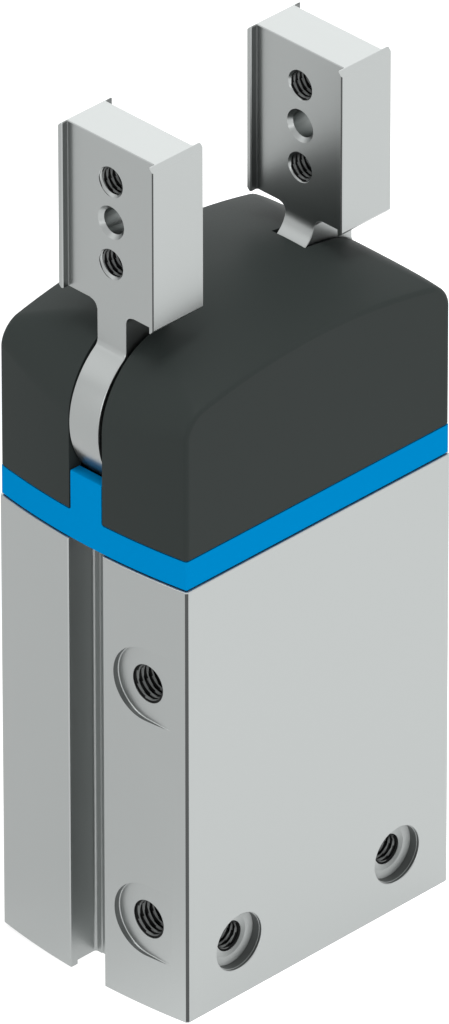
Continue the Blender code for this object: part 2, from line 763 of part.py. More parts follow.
def make_jaw(label, side):
    """Pivot disc, neck and jaw block in one piece, with its bush and drive pin."""
    block = prism(jaw_block_outline(side), JAW_LOW, JAW_HIGH, "Z")
    jaw = store(f"{label}_jaw", block, machined_jaw_metal(f"{label}_jaw_metal"))
    ends = sorted((side * NECK_INNER, side * NECK_OUTER))
    fuse(jaw, prism(jaw_neck_outline(), ends[0], ends[1], "X"), "neck")
    fuse(jaw, prism(swing_side(jaw_disc_outline(), side), -DISC_HALF, DISC_HALF, "Y"), "disc")
    cut(jaw, jaw_holes(side), "tool_holes")
    pivot = (side * PIVOT_X, 0, PIVOT_Z)
    drive = drive_pin_place(side)
    bore_half = DISC_HALF + 1
    bores = rod_shape(JAW_BUSH_OUTER + 0.2, -bore_half, bore_half, TUBE_STEPS, "Y", pivot)
    rod_shape(DRIVE_PIN_RADIUS + 0.2, -bore_half, bore_half, HOLE_STEPS, "Y", drive, bores)
    cut(jaw, bores, "pin_bores")
    bush = tube_shape(PIVOT_PIN_RADIUS + 0.2, JAW_BUSH_OUTER, -DISC_HALF, DISC_HALF, TUBE_STEPS, "Y", pivot)
    bush_piece = store(f"{label}_jaw_bush", bush, bronze(f"{label}_jaw_bush_bronze"))
    pin = rod_shape(DRIVE_PIN_RADIUS, -DRIVE_PIN_HALF, DRIVE_PIN_HALF, HOLE_STEPS, "Y", drive)
    pin_piece = store(f"{label}_drive_pin", pin, hardened_steel(f"{label}_drive_pin_steel"))
    hang_on(f"{label}_jaw_pivot", pivot, (jaw, bush_piece, pin_piece))


def make_pivot_pin(label, side):
    """A headed pin through both towers, held at its other end by a snap ring."""
    head = TOWER_OUTER + GAP
    head_end = head + 0.9
    groove = TOWER_OUTER + 0.2
    groove_end = groove + 1.0
    tip = groove + 1.6
    profile = (
        (0, -head_end),
        (PIVOT_PIN_HEAD_RADIUS, -head_end),
        (PIVOT_PIN_HEAD_RADIUS, -head),
        (PIVOT_PIN_RADIUS, -head),
        (PIVOT_PIN_RADIUS, groove),
        (PIVOT_PIN_GROOVE_RADIUS, groove),
        (PIVOT_PIN_GROOVE_RADIUS, groove_end),
        (PIVOT_PIN_RADIUS, groove_end),
        (PIVOT_PIN_RADIUS, tip),
        (0, tip),
    )
    pin = turned(profile, HOLE_STEPS, "Y", (side * PIVOT_X, 0, PIVOT_Z))
    store(f"{label}_pivot_pin", pin, hardened_steel(f"{label}_pivot_pin_steel"))
    inner = PIVOT_PIN_GROOVE_RADIUS + 0.2
    span = (groove + 0.2, groove + 0.8)
    snap_ring(f"{label}_pin_snap_ring", (inner, 3.6, inner), span, "Y", (side * PIVOT_X, PIVOT_Z), 14)


# ---------------------------------------------------------------- piston and crosshead


def make_piston():
    grooves = (LOWER_SEAL, MAGNET_GROOVE, WEAR_GROOVE, UPPER_SEAL)
    side = [(PISTON_RADIUS, PISTON_BODY_LOW)]
    for low, high in grooves:
        side += [(PISTON_RADIUS, low), (GROOVE_FLOOR, low), (GROOVE_FLOOR, high), (PISTON_RADIUS, high)]
    side.append((PISTON_RADIUS, PISTON_BODY_HIGH))
    hole = ROD_STUD_RADIUS + GAP
    pocket_top = PISTON_LOW + 3.8
    profile = (
        (NUT_POCKET_RADIUS, PISTON_LOW),
        (PISTON_NECK_RADIUS, PISTON_LOW),
        (PISTON_NECK_RADIUS, PISTON_BODY_LOW),
        *side,
        (PISTON_NECK_RADIUS, PISTON_BODY_HIGH),
        (PISTON_NECK_RADIUS, PISTON_HIGH),
        (hole, PISTON_HIGH),
        (hole, pocket_top),
        (NUT_POCKET_RADIUS, pocket_top),
    )
    return store("piston", turned(profile, ROUND_STEPS), mill_aluminium("piston_aluminium"))


def piston_ring(name, groove, outer, material):
    low = groove[0] + GAP
    high = groove[1] - GAP
    return store(name, tube_shape(GROOVE_FLOOR + GAP, outer, low, high, ROUND_STEPS), material)


def piston_seal(name, groove):
    """A lip ring, hollowed on the side that takes the pressure."""
    low = groove[0] + GAP
    high = groove[1] - GAP
    inner = GROOVE_FLOOR + GAP
    middle = (inner + PISTON_RING_RADIUS) / 2
    profile = (
        (inner, low),
        (middle - 0.35, low),
        (middle, low + 0.9),
        (middle + 0.35, low),
        (PISTON_RING_RADIUS, low),
        (PISTON_RING_RADIUS - 0.2, high),
        (inner, high),
    )
    return store(name, turned(profile, ROUND_STEPS), nitrile_rubber(f"{name}_rubber"))


def make_piston_rod():
    """Threaded stud through the piston, rod, and a thinner threaded tip in the crosshead."""
    low = PISTON_LOW + 0.5
    shoulder = PISTON_HIGH + GAP
    top = CROSSHEAD_LOW - GAP
    tip = CROSSHEAD_BASE_TOP - 0.4
    profile = (
        (0, low),
        (ROD_STUD_RADIUS, low),
        (ROD_STUD_RADIUS, shoulder),
        (ROD_RADIUS, shoulder),
        (ROD_RADIUS, top),
        (ROD_TIP_RADIUS, top),
        (ROD_TIP_RADIUS, tip),
        (0, tip),
    )
    return store("piston_rod", turned(profile, TUBE_STEPS), hardened_steel("piston_rod_steel"))


def make_piston_nut():
    low = PISTON_LOW + 0.9
    outline = arc((0, 0), NUT_RADIUS, 0, 300, 5)
    nut = store("piston_nut", prism(outline, low, low + 2.5, "Z"), hardened_steel("piston_nut_steel"))
    cut(nut, rod_shape(ROD_STUD_RADIUS + 0.2, low - 1, low + 4, HOLE_STEPS), "thread")
    return nut


def crosshead_cheek_outline():
    """Side view of a cheek: a column with two arms on each side, and a drive pin's slot between them."""
    slot_half = DRIVE_PIN_RADIUS + DRIVE_SLACK
    slot_low = DRIVE_REST_Z - slot_half
    slot_high = DRIVE_REST_Z + slot_half
    slot_end = PIVOT_X - DRIVE_RADIUS - DRIVE_PIN_RADIUS - DRIVE_SLACK
    arm = PIVOT_X - BOSS_RADIUS - GAP
    column = CROSSHEAD_HALF_X
    slope = 1.4
    corner = 0.6
    arm_low = slot_low - ARM_BELOW
    half = (
        (column, CROSSHEAD_LOW),
        (column, arm_low - slope),
        (column + slope, arm_low),
        (arm, arm_low),
        (arm, slot_low),
        (slot_end + corner, slot_low),
        (slot_end, slot_low + corner),
        (slot_end, slot_high - corner),
        (slot_end + corner, slot_high),
        (arm, slot_high),
        (arm, slot_high + ARM_ABOVE),
    )
    return [*half, *((-x, z) for x, z in reversed(half))]


def make_crosshead():
    """A base on the rod's tip, two slotted cheeks beside the discs, and a web that joins them."""
    half_x = CROSSHEAD_HALF_X
    half_y = CHEEK_OUTER - 0.2
    base = box((-half_x, -half_y, CROSSHEAD_LOW), (half_x, half_y, CROSSHEAD_BASE_TOP))
    crosshead = store("crosshead", base, hardened_steel("crosshead_steel"))
    cheeks = bmesh.new()
    for low, high in ((-CHEEK_OUTER, -CHEEK_INNER), (CHEEK_INNER, CHEEK_OUTER)):
        prism(crosshead_cheek_outline(), low, high, "Y", cheeks)
    fuse(crosshead, cheeks, "cheeks")
    top = DRIVE_REST_Z + DRIVE_PIN_RADIUS + DRIVE_SLACK + ARM_ABOVE
    web_x = 1.0
    web_y = CHEEK_INNER + 0.5
    fuse(crosshead, box((-web_x, -web_y, CROSSHEAD_BASE_TOP - 0.5), (web_x, web_y, top - 0.5)), "web")
    thread = rod_shape(ROD_TIP_RADIUS + 0.2, CROSSHEAD_LOW - 1, CROSSHEAD_BASE_TOP - 0.15, HOLE_STEPS)
    cut(crosshead, thread, "rod_thread")
    return crosshead


def make_piston_group():
    ferrite = magnet_ferrite("piston_magnet_ferrite")
    polymer = bearing_polymer("piston_wear_polymer")
    pieces = (
        make_piston(),
        piston_seal("piston_seal_lower", LOWER_SEAL),
        piston_ring("piston_magnet", MAGNET_GROOVE, PISTON_RADIUS - 0.1, ferrite),
        piston_ring("piston_wear_ring", WEAR_GROOVE, PISTON_RING_RADIUS, polymer),
        piston_seal("piston_seal_upper", UPPER_SEAL),
        make_piston_rod(),
        make_piston_nut(),
        make_crosshead(),
    )
    hang_on("piston_slide", (0, 0, PISTON_LOW), pieces)


# ---------------------------------------------------------------- assembly


def hang_on(name, place, pieces):
    """Parents pieces to an empty that sits on their joint's axis, without moving them."""
    empty = bpy.data.objects.new(name, None)
    empty.location = Vector(place) * MM
    bpy.context.scene.collection.objects.link(empty)
    for piece in pieces:
        piece.parent = empty
        piece.matrix_parent_inverse = Matrix.Translation(-empty.location)


def clear_scene():
    for obj in list(bpy.data.objects):
        bpy.data.objects.remove(obj)


def main():
    clear_scene()
    make_housing()
    make_end_cap()
    span = (SNAP_GROOVE_LOW + 0.15, SNAP_GROOVE_HIGH - 0.15)
    snap_ring("end_cap_snap_ring", (12.4, 14.0, 11.0), span, "Z", (0, 0), 28)
    make_buffers()
    make_rod_guide()
    make_spacer_ring()
    make_cover()
    make_bearing_block()
    make_block_screws()
    for label, side in SIDES:
        make_pivot_pin(label, side)
        make_jaw(label, side)
    make_piston_group()


main()
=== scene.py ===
"""Looks of the radial pneumatic gripper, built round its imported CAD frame.

Shapes are modelled in millimetres and stored in metres. Z runs up the gripper, X is the way the jaws open,
and Y is the short way across the body. Sizes that the CAD settles are read from its nodes and joints.
"""

import json
import math

import bmesh
import bpy
from mathutils import Matrix, Quaternion, Vector

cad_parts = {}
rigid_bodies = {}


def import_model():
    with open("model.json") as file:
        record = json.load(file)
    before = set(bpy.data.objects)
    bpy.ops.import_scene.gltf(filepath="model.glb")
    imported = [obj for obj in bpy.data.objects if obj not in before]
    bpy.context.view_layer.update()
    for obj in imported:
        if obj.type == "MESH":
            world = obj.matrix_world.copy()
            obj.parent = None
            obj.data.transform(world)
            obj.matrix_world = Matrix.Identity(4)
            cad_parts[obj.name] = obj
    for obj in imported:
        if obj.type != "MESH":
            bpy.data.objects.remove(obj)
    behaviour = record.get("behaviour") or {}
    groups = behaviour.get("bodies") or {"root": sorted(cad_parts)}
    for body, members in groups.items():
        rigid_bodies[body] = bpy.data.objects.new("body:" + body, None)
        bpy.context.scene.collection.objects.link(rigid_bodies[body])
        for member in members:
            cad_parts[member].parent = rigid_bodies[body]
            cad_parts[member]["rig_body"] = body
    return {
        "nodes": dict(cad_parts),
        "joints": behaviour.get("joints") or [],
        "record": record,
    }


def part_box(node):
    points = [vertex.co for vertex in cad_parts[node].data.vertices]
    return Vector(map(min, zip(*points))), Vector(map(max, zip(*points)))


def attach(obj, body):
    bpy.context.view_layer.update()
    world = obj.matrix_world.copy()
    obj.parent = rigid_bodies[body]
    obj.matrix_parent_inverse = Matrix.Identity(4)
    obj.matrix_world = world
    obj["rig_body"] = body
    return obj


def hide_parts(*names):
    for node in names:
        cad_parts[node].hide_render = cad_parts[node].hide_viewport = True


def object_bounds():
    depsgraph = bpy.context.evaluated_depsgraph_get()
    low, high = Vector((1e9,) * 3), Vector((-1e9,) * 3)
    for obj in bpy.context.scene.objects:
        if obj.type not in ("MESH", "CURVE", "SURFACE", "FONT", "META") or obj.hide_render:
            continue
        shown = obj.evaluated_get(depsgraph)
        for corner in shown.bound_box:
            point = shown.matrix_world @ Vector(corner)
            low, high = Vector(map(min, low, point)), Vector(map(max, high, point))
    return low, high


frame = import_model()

MM = 0.001
cad_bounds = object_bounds()


def cad_corners(node):
    """Lowest and highest corner of a CAD node, in millimetres."""
    low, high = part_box(node)
    return low / MM, high / MM


def joint_place(name):
    joint = next(joint for joint in frame["joints"] if joint["name"] == name)
    return Vector(joint["pos_m"]) / MM


HOUSING_HIGH = cad_corners("housing")[1]
CAP_LOW, CAP_HIGH = cad_corners("end_cap")
RING_CORNER_HIGH = cad_corners("spacer_ring")[1]
COVER_CORNER_LOW, COVER_CORNER_HIGH = cad_corners("cover")
JAW_CORNER_LOW, JAW_CORNER_HIGH = cad_corners("right_jaw")
DRIVE_PIN_LOW, DRIVE_PIN_HIGH = cad_corners("right_drive_pin")
PIVOT = joint_place("right_jaw_swing")

SIDES = (("left", -1), ("right", 1))

# Places of the special finishes in a piece's material list. The edge, recess and thread finishes are painted
# shade: darker copies of the metal where less light reaches.
PAINTED_SHADE_EDGE = 1
PAINTED_SHADE_RECESS = 2
PAINTED_SHADE_THREAD_CREST = 3
SLOT_WALL = 5

# Body plan
BODY_CROWN_X = HOUSING_HIGH.x
BODY_CROWN = 1.3
BODY_HALF_X = BODY_CROWN_X - BODY_CROWN
BODY_HALF_Y = HOUSING_HIGH.y
BODY_HEIGHT = HOUSING_HIGH.z
BODY_CORNER = 0.32
BODY_RIM = 0.2
END_ARC_RADIUS = (BODY_HALF_Y**2 + BODY_CROWN**2) / (2 * BODY_CROWN)

# Cylinder inside the housing
BORE_RADIUS = 12.5
BORE_TOP = 47.6
CAP_SEAT_RADIUS = CAP_HIGH.x + 0.3
CAP_SEAT_TOP = CAP_HIGH.z + 0.3
SNAP_GROOVE = (0.6, 1.7)
SNAP_GROOVE_RADIUS = 14.3
ROD_BORE_RADIUS = 4.3
BUSH_SEAT_RADIUS = 6.0
BUSH_SEAT_TOP = 52.7
TOP_POCKET_LOW = 53.0
TOP_POCKET_RADIUS = 7.2
BLOCK_SCREWS = [(x, y) for x in (-4.6, 4.6) for y in (-9.8, 9.8)]
BLOCK_SCREW_RADIUS = 1.8
BLOCK_SCREW_LOW = 52.4

# Threads as (major radius, minor radius, pitch)
M5 = (2.5, 2.1, 0.8)
M4 = (2.0, 1.65, 0.7)
THREAD_STEPS = 40
THREAD_ROWS = 8
THREAD_LAND = 0.12

# Air ports, sensor slots and mounting holes
PORT_Y = -9.5
PORT_HEIGHTS = (12.2, 45.15)
PORT_FACE_X = 22.3
PORT_POCKET_RADIUS = 4.95
PORT_DEPTH = 9.2
PORT_DRILL_RADIUS = 1.6
PORT_DRILL_END = -5.5
SLOT_MOUTH_HALF = 2.85
SLOT_UNDERCUT_HALF = 3.45
SLOT_LIP = 1.3
SLOT_FLOOR_X = 18.4
MOUNT_X = 13.3
MOUNT_Z = 7.65
MOUNT_SINK_RADIUS = 3.75
MOUNT_SINK_DEPTH = 1.8
MOUNT_DEPTH = 4.8

# Spacer ring and cover
RING_INSET = 0.2
RING_BAND_TOP = COVER_CORNER_LOW.z - 0.12
TONGUE_HALF = 2.55
RING_OPENING = (18.9, 13.1)
COVER_INSET = 0.15
COVER_WALL = 2.0
COVER_CROWN_RADIUS_X = 82.5
COVER_CROWN_RADIUS_Y = 48.1
COVER_EDGE = 0.5
COVER_END_FILLET_CORNER = 2.5
COVER_END_FILLET_MIDDLE = 8.7
COVER_END_FILLET_FALL = 1.2
COVER_SLOT_HALF = 2.75
COVER_SLOT_START = 10.4
DISC_RELIEF = 0.35

# Jaws, with sizes measured outward from the middle plane
DISC_RADIUS = PIVOT.z - JAW_CORNER_LOW.z
DISC_HALF = 2.4
NECK_OUTER = 18.66
NECK_INNER = 12.37
NECK_FILLET = 3.6
NECK_OUTER_FILLET = 1.2
FOOT_FILLET = 1.1
JAW_BLOCK_LOW = 90.9
JAW_TOP = JAW_CORNER_HIGH.z
JAW_HALF_Y = JAW_CORNER_HIGH.y
JAW_PLATE = 0.75
JAW_PLATE_OUTER = 19.62
JAW_PLATE_INNER = 11.33
JAW_WEB_FILLET = 0.14
JAW_EDGE = 0.13
JAW_RIM = 0.1
JAW_SHOULDER = (0.55, 0.62)
JAW_THREAD_HEIGHTS = (96.85, 107.95)
JAW_THREAD_MOUTH = 1.98
JAW_DOWEL_HEIGHT = 102.5
JAW_DOWEL_RADIUS = 1.65
JAW_DOWEL_SINK = 0.5
JAW_BUSH_RADIUS = 3.7
DRIVE_PIN_X = (DRIVE_PIN_LOW.x + DRIVE_PIN_HIGH.x) / 2
DRIVE_PIN_Z = (DRIVE_PIN_LOW.z + DRIVE_PIN_HIGH.z) / 2
DRIVE_PIN_BORE = (DRIVE_PIN_HIGH.x - DRIVE_PIN_LOW.x) / 2 + 0.2


# ---------------------------------------------------------------- mesh tools


def on_axis(axis, across, up, along):
    """A point from its place in the plane across an axis and its place along that axis."""
    return {"X": (along, across, up), "Y": (across, along, up), "Z": (across, up, along)}[axis]


def arc(centre, radius, start, end, steps):
    """Points on an arc, with its angles in degrees."""
    angles = [math.radians(start + (end - start) * step / steps) for step in range(steps + 1)]
    x, y = centre
    return [(x + radius * math.cos(angle), y + radius * math.sin(angle)) for angle in angles]


def both_sides(half):
    """Closes an outline that is the same on both sides of its first axis."""
    return [*half, *((x, -y) for x, y in reversed(half))]


def inset_outline(outline, distance):
    """Moves a closed outline inwards, keeping its corners mitred."""
    points = [Vector(point) for point in outline]
    area = sum(points[index - 1].cross(point) for index, point in enumerate(points))
    inward = math.copysign(1, area)
    moved = []
    for index, point in enumerate(points):
        arriving = (point - points[index - 1]).normalized()
        leaving = (points[(index + 1) % len(points)] - point).normalized()
        sides = arriving + leaving
        bisector = Vector((-sides.y, sides.x)) * inward
        moved.append(tuple(point + bisector * (2 * distance / bisector.length_squared)))
    return moved


def loft(bm, rings):
    """Adds a closed solid through rings of equal length, each a list of 3-D points."""
    rows = [[bm.verts.new(point) for point in ring] for ring in rings]
    for lower, upper in zip(rows, rows[1:]):
        for index, vert in enumerate(lower):
            after = (index + 1) % len(lower)
            bm.faces.new((vert, lower[after], upper[after], upper[index]))
    bm.faces.new(rows[0][::-1])
    bm.faces.new(rows[-1])
    return bm


def prism(outline, low, high, axis, bm=None):
    """A straight solid of an outline across the named axis."""
    rings = [[on_axis(axis, *point, along) for point in outline] for along in (low, high)]
    return loft(bm or bmesh.new(), rings)


def edged_prism(outline, low, high, axis, edge, steps=1, bm=None):
    """A prism whose rims are broken: one step makes a chamfer, and more steps a round."""
    turns = [math.pi / 2 * step / steps for step in range(steps + 1)]
    breaks = [(edge * (1 - math.cos(turn)), edge * (1 - math.sin(turn))) for turn in turns]
    places = [(low + rise, inset) for rise, inset in breaks]
    places += [(high - rise, inset) for rise, inset in reversed(breaks)]
    rings = []
    for along, inset in places:
        rings.append([on_axis(axis, *point, along) for point in inset_outline(outline, inset)])
    return loft(bm or bmesh.new(), rings)


def block(low, high, bm=None):
    outline = ((low[0], low[1]), (high[0], low[1]), (high[0], high[1]), (low[0], high[1]))
    return prism(outline, low[2], high[2], "Z", bm)


def add_mesh(bm, other):
    scratch = bpy.data.meshes.new("scratch")
    other.to_mesh(scratch)
    other.free()
    bm.from_mesh(scratch)
    bpy.data.meshes.remove(scratch)


AXIS_TURNS = {
    "X": Matrix.Rotation(math.pi / 2, 4, "Y"),
    "Y": Matrix.Rotation(-math.pi / 2, 4, "X"),
    "Z": Matrix.Identity(4),
}


def turned(profile, steps, axis="Z", centre=(0, 0, 0), bm=None):
    """Spins a closed profile of (radius, distance along the axis) points about an axis through centre."""
    whole = bm or bmesh.new()
    lathe = bmesh.new()
    verts = [lathe.verts.new((radius, 0, along)) for radius, along in profile]
    edges = [lathe.edges.new((verts[index - 1], vert)) for index, vert in enumerate(verts)]
    bmesh.ops.spin(
        lathe, geom=verts + edges, cent=(0, 0, 0), axis=(0, 0, 1), angle=math.tau, steps=steps, use_merge=True
    )
    bmesh.ops.remove_doubles(lathe, verts=lathe.verts, dist=1e-5)
    bmesh.ops.delete(lathe, geom=[edge for edge in lathe.edges if not edge.link_faces], context="EDGES")
    placing = Matrix.Translation(Vector(centre)) @ AXIS_TURNS[axis]
    bmesh.ops.transform(lathe, matrix=placing, verts=lathe.verts)
    add_mesh(whole, lathe)
    return whole


def drill(radius, low, high, steps, axis, centre, mouths=(), sink=0.3, bm=None):
    """A plain hole cutter; mouths are the places along the axis where the hole is countersunk."""
    stations = {low, high}
    for mouth in mouths:
        stations |= {mouth - sink, mouth, mouth + sink}
    profile = [(0, low)]
    for along in sorted(stations):
        reach = max([sink - abs(along - mouth) for mouth in mouths] + [0])
        profile.append((radius + reach, along))
    return turned([*profile, (0, high)], steps, axis, centre, bm)


def tapped_hole(thread, depth, mouth, matrix, bm, through=False):
    """A cutter with a helical thread. It starts at the matrix's origin, and the hole runs down its own Z.

    A through hole is countersunk at both ends, and a blind one starts with a short plain land.
    """
    major, minor, pitch = thread
    rows = round(depth / pitch * THREAD_ROWS)
    heights = [-depth * (1 - row / rows) for row in range(rows + 1)] + [1.0]
    if through:
        heights.insert(0, -depth - 1.0)
    rings = []
    for height in heights:
        if through:
            opening = mouth - min(max(-height, 0), max(height + depth, 0))
        else:
            opening = mouth - 4 * max(-height - THREAD_LAND, 0)
        ring = []
        for step in range(THREAD_STEPS):
            share = step / THREAD_STEPS
            ridge = 1 - abs(2 * ((height / pitch - share) % 1.0) - 1)
            flank = min(1.0, max(0.0, 1.35 * ridge - 0.15))
            radius = max(minor + (major - minor) * flank, opening)
            angle = math.tau * share
            ring.append(matrix @ Vector((radius * math.cos(angle), radius * math.sin(angle), height)))
        rings.append(ring)
    if not through:
        turns = [math.tau * step / THREAD_STEPS for step in range(THREAD_STEPS)]
        low = -depth - 0.6 * minor
        tip = [matrix @ Vector((0.2 * math.cos(turn), 0.2 * math.sin(turn), low)) for turn in turns]
        rings.insert(0, tip)
    return loft(bm, rings)


# ---------------------------------------------------------------- pieces


def new_object(name, bm):
    bmesh.ops.recalc_face_normals(bm, faces=bm.faces)
    mesh = bpy.data.meshes.new(name)
    bm.to_mesh(mesh)
    bm.free()
    obj = bpy.data.objects.new(name, mesh)
    bpy.context.scene.collection.objects.link(obj)
    return obj


def combine(obj, bm, label, operation):
    modifier = obj.modifiers.new(label, "BOOLEAN")
    modifier.operation = operation
    modifier.solver = "EXACT"
    modifier.object = new_object(f"{obj.name}.{label}", bm)


def cut(obj, bm, label):
    combine(obj, bm, label, "DIFFERENCE")


def fuse(obj, bm, label):
    combine(obj, bm, label, "UNION")


def finish_piece(obj, nodes, materials, sharp=32):
    """Applies the Booleans, turns millimetres into metres and hands the piece to its CAD body."""
    tools = [modifier.object for modifier in obj.modifiers]
    mesh = bpy.data.meshes.new_from_object(obj.evaluated_get(bpy.context.evaluated_depsgraph_get()))
    obj.modifiers.clear()
    obj.data = mesh
    for tool in tools:
        bpy.data.objects.remove(tool)
    mesh.materials.clear()
    for material in materials:
        mesh.materials.append(material)
    mesh.transform(Matrix.Scale(MM, 4))
    mesh.shade_smooth()
    mesh.set_sharp_from_angle(angle=math.radians(sharp))
    weighted = obj.modifiers.new("weighted_normals", "WEIGHTED_NORMAL")
    weighted.keep_sharp = True
    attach(obj, frame["nodes"][nodes[0]]["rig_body"])
    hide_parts(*nodes)
    return obj


def paint(obj, index, test):
    """Gives a material to the faces whose centre, in millimetres, and normal pass a test."""
    for face in obj.data.polygons:
        if test(face.center / MM, face.normal):
            face.material_index = index


def paint_thread(obj, thread, depth, start, place):
    """Gives a thread's crests one material and its roots the next one, below its mouth: dark metal on the
    crests as painted shade and near black in the roots as painted shadow.
    """
    major, minor, _ = thread
    inverse = place.inverted()
    for face in obj.data.polygons:
        across, up, along = inverse @ (face.center / MM)
        radius = math.hypot(across, up)
        if start - depth < along < -start and radius < major + 0.05:
            is_crest = radius < (major + minor) / 2
            face.material_index = PAINTED_SHADE_THREAD_CREST if is_crest else PAINTED_SHADE_THREAD_CREST + 1


def body_outline(inset, end_steps=28, corner_steps=1):
    """The plan of the body moved inwards: arched narrow ends, flat wide faces and chamfered upright edges."""
    radius = END_ARC_RADIUS - inset
    half_y = BODY_HALF_Y - inset
    corner = max(BODY_CORNER - inset, 0.08)
    middle = BODY_CROWN_X - END_ARC_RADIUS
    reach = math.degrees(math.asin((half_y - corner) / (radius - corner)))
    corner_x = middle + math.sqrt((radius - corner) ** 2 - (half_y - corner) ** 2)
    end = arc((middle, 0), radius, -reach, reach, end_steps)
    bend = arc((corner_x, half_y - corner), corner, reach, 90, corner_steps)[1:]
    right = [*((x, -y) for x, y in reversed(bend)), *end, *bend]
    return [*right, *((-x, -y) for x, y in right)]


def at_level(outline, height):
    return [(x, y, height) for x, y in outline]


# ---------------------------------------------------------------- housing


def make_housing(materials):
    rim = [(body_outline(BODY_RIM * (1 - math.sin(turn))), BODY_RIM * (1 - math.cos(turn)))
           for turn in (0, math.pi / 4, math.pi / 2)]
    rings = [at_level(outline, rise) for outline, rise in rim]
    rings += [at_level(outline, BODY_HEIGHT - rise) for outline, rise in reversed(rim)]
    housing = new_object("housing_body", loft(bmesh.new(), rings))
    cut(housing, cylinder_void(), "cylinder")
    cut(housing, sensor_slots(), "sensor_slots")
    cut(housing, port_pockets(), "port_pockets")
    cut(housing, threads(M5, PORT_DEPTH, port_places()), "port_threads")
    cut(housing, port_drillings(), "port_drillings")
    cut(housing, mount_counterbores(), "mount_counterbores")
    cut(housing, threads(M4, MOUNT_DEPTH, mount_places()), "mount_threads")
    cut(housing, block_screw_holes(), "block_screw_holes")
    finish_piece(housing, ["housing"], materials)
    # Painted shade: the upright edges, the pocket and counterbore walls and the threads get darker copies of
    # the metal.
    paint(housing, PAINTED_SHADE_EDGE, on_painted_shade_upright_edge)
    paint(housing, PAINTED_SHADE_RECESS, in_painted_shade_recess)
    paint(housing, SLOT_WALL, on_slot_wall)
    for place in port_places():
        paint_thread(housing, M5, PORT_DEPTH, THREAD_LAND, place)
    for place in mount_places():
        paint_thread(housing, M4, MOUNT_DEPTH, THREAD_LAND, place)


# Mask of the chamfered upright corner edges, which are painted dark as shade.
def on_painted_shade_upright_edge(middle, normal):
    near = abs(middle.y) > BODY_HALF_Y - BODY_CORNER and abs(middle.x) > BODY_HALF_X - 2 * BODY_CORNER
    return near and abs(normal.z) < 0.1 and min(abs(normal.x), abs(normal.y)) > 0.3


def on_slot_wall(middle, normal):
    inside = abs(middle.y) < SLOT_UNDERCUT_HALF + 0.1 and SLOT_FLOOR_X < abs(middle.x) < BODY_CROWN_X - 0.2
    return inside and abs(normal.z) < 0.1 and abs(normal.y) > 0.5


def in_painted_shade_recess(middle, normal):
    """Walls of the port pockets and the counterbores, which get a darker copy of the metal as painted shade.
    """
    reach = PORT_POCKET_RADIUS + 0.1
    if -BODY_HALF_Y + BODY_CORNER < middle.y < PORT_Y + reach and middle.x < -PORT_FACE_X:
        return abs(normal.x) < 0.3 and any(abs(middle.z - height) < reach for height in PORT_HEIGHTS)
    if BODY_HALF_Y - MOUNT_SINK_DEPTH < abs(middle.y) < BODY_HALF_Y - 0.1 and abs(normal.y) < 0.3:
        return math.hypot(abs(middle.x) - MOUNT_X, middle.z - MOUNT_Z) < MOUNT_SINK_RADIUS + 0.1
    return False


def cylinder_void():
    """End cap seat, snap ring groove, piston bore, rod bush seat and the pocket below the crosshead."""
    profile = (
        (0, -1),
        (CAP_SEAT_RADIUS + 1.3, -1),
        (CAP_SEAT_RADIUS, 0.3),
        (CAP_SEAT_RADIUS, SNAP_GROOVE[0]),
        (SNAP_GROOVE_RADIUS, SNAP_GROOVE[0]),
        (SNAP_GROOVE_RADIUS, SNAP_GROOVE[1]),
        (CAP_SEAT_RADIUS, SNAP_GROOVE[1]),
        (CAP_SEAT_RADIUS, CAP_SEAT_TOP),
        (BORE_RADIUS + 0.3, CAP_SEAT_TOP),
        (BORE_RADIUS, CAP_SEAT_TOP + 0.6),
        (BORE_RADIUS, BORE_TOP),
        (BUSH_SEAT_RADIUS, BORE_TOP),
        (BUSH_SEAT_RADIUS, BUSH_SEAT_TOP),
        (ROD_BORE_RADIUS, BUSH_SEAT_TOP),
        (ROD_BORE_RADIUS, TOP_POCKET_LOW),
        (TOP_POCKET_RADIUS, TOP_POCKET_LOW),
        (TOP_POCKET_RADIUS, BODY_HEIGHT - 0.4),
        (TOP_POCKET_RADIUS + 1.4, BODY_HEIGHT + 1),
        (0, BODY_HEIGHT + 1),
    )
    return turned(profile, 96)


def sensor_slots():
    """T-shaped grooves the whole height of both narrow faces, with broken lips and rounded floor corners."""
    bm = bmesh.new()
    outside = BODY_CROWN_X + 1
    shoulder = BODY_CROWN_X - SLOT_LIP
    lip = 0.18
    corner = 0.4
    floor_bend = arc((SLOT_FLOOR_X + corner, SLOT_UNDERCUT_HALF - corner), corner, 90, 180, 5)
    half = [
        (outside, SLOT_MOUTH_HALF + lip + 1),
        (BODY_CROWN_X - lip, SLOT_MOUTH_HALF),
        (shoulder + 0.1, SLOT_MOUTH_HALF),
        (shoulder, SLOT_MOUTH_HALF + 0.1),
        (shoulder, SLOT_UNDERCUT_HALF - 0.15),
        (shoulder - 0.15, SLOT_UNDERCUT_HALF),
        *floor_bend,
        (SLOT_FLOOR_X, SLOT_UNDERCUT_HALF - 0.95),
        (SLOT_FLOOR_X - 0.12, SLOT_UNDERCUT_HALF - 1.05),
    ]
    for _, side in SIDES:
        outline = [(side * x, y) for x, y in both_sides(half)]
        prism(outline, -1, BODY_HEIGHT + 1, "Z", bm)
    return bm


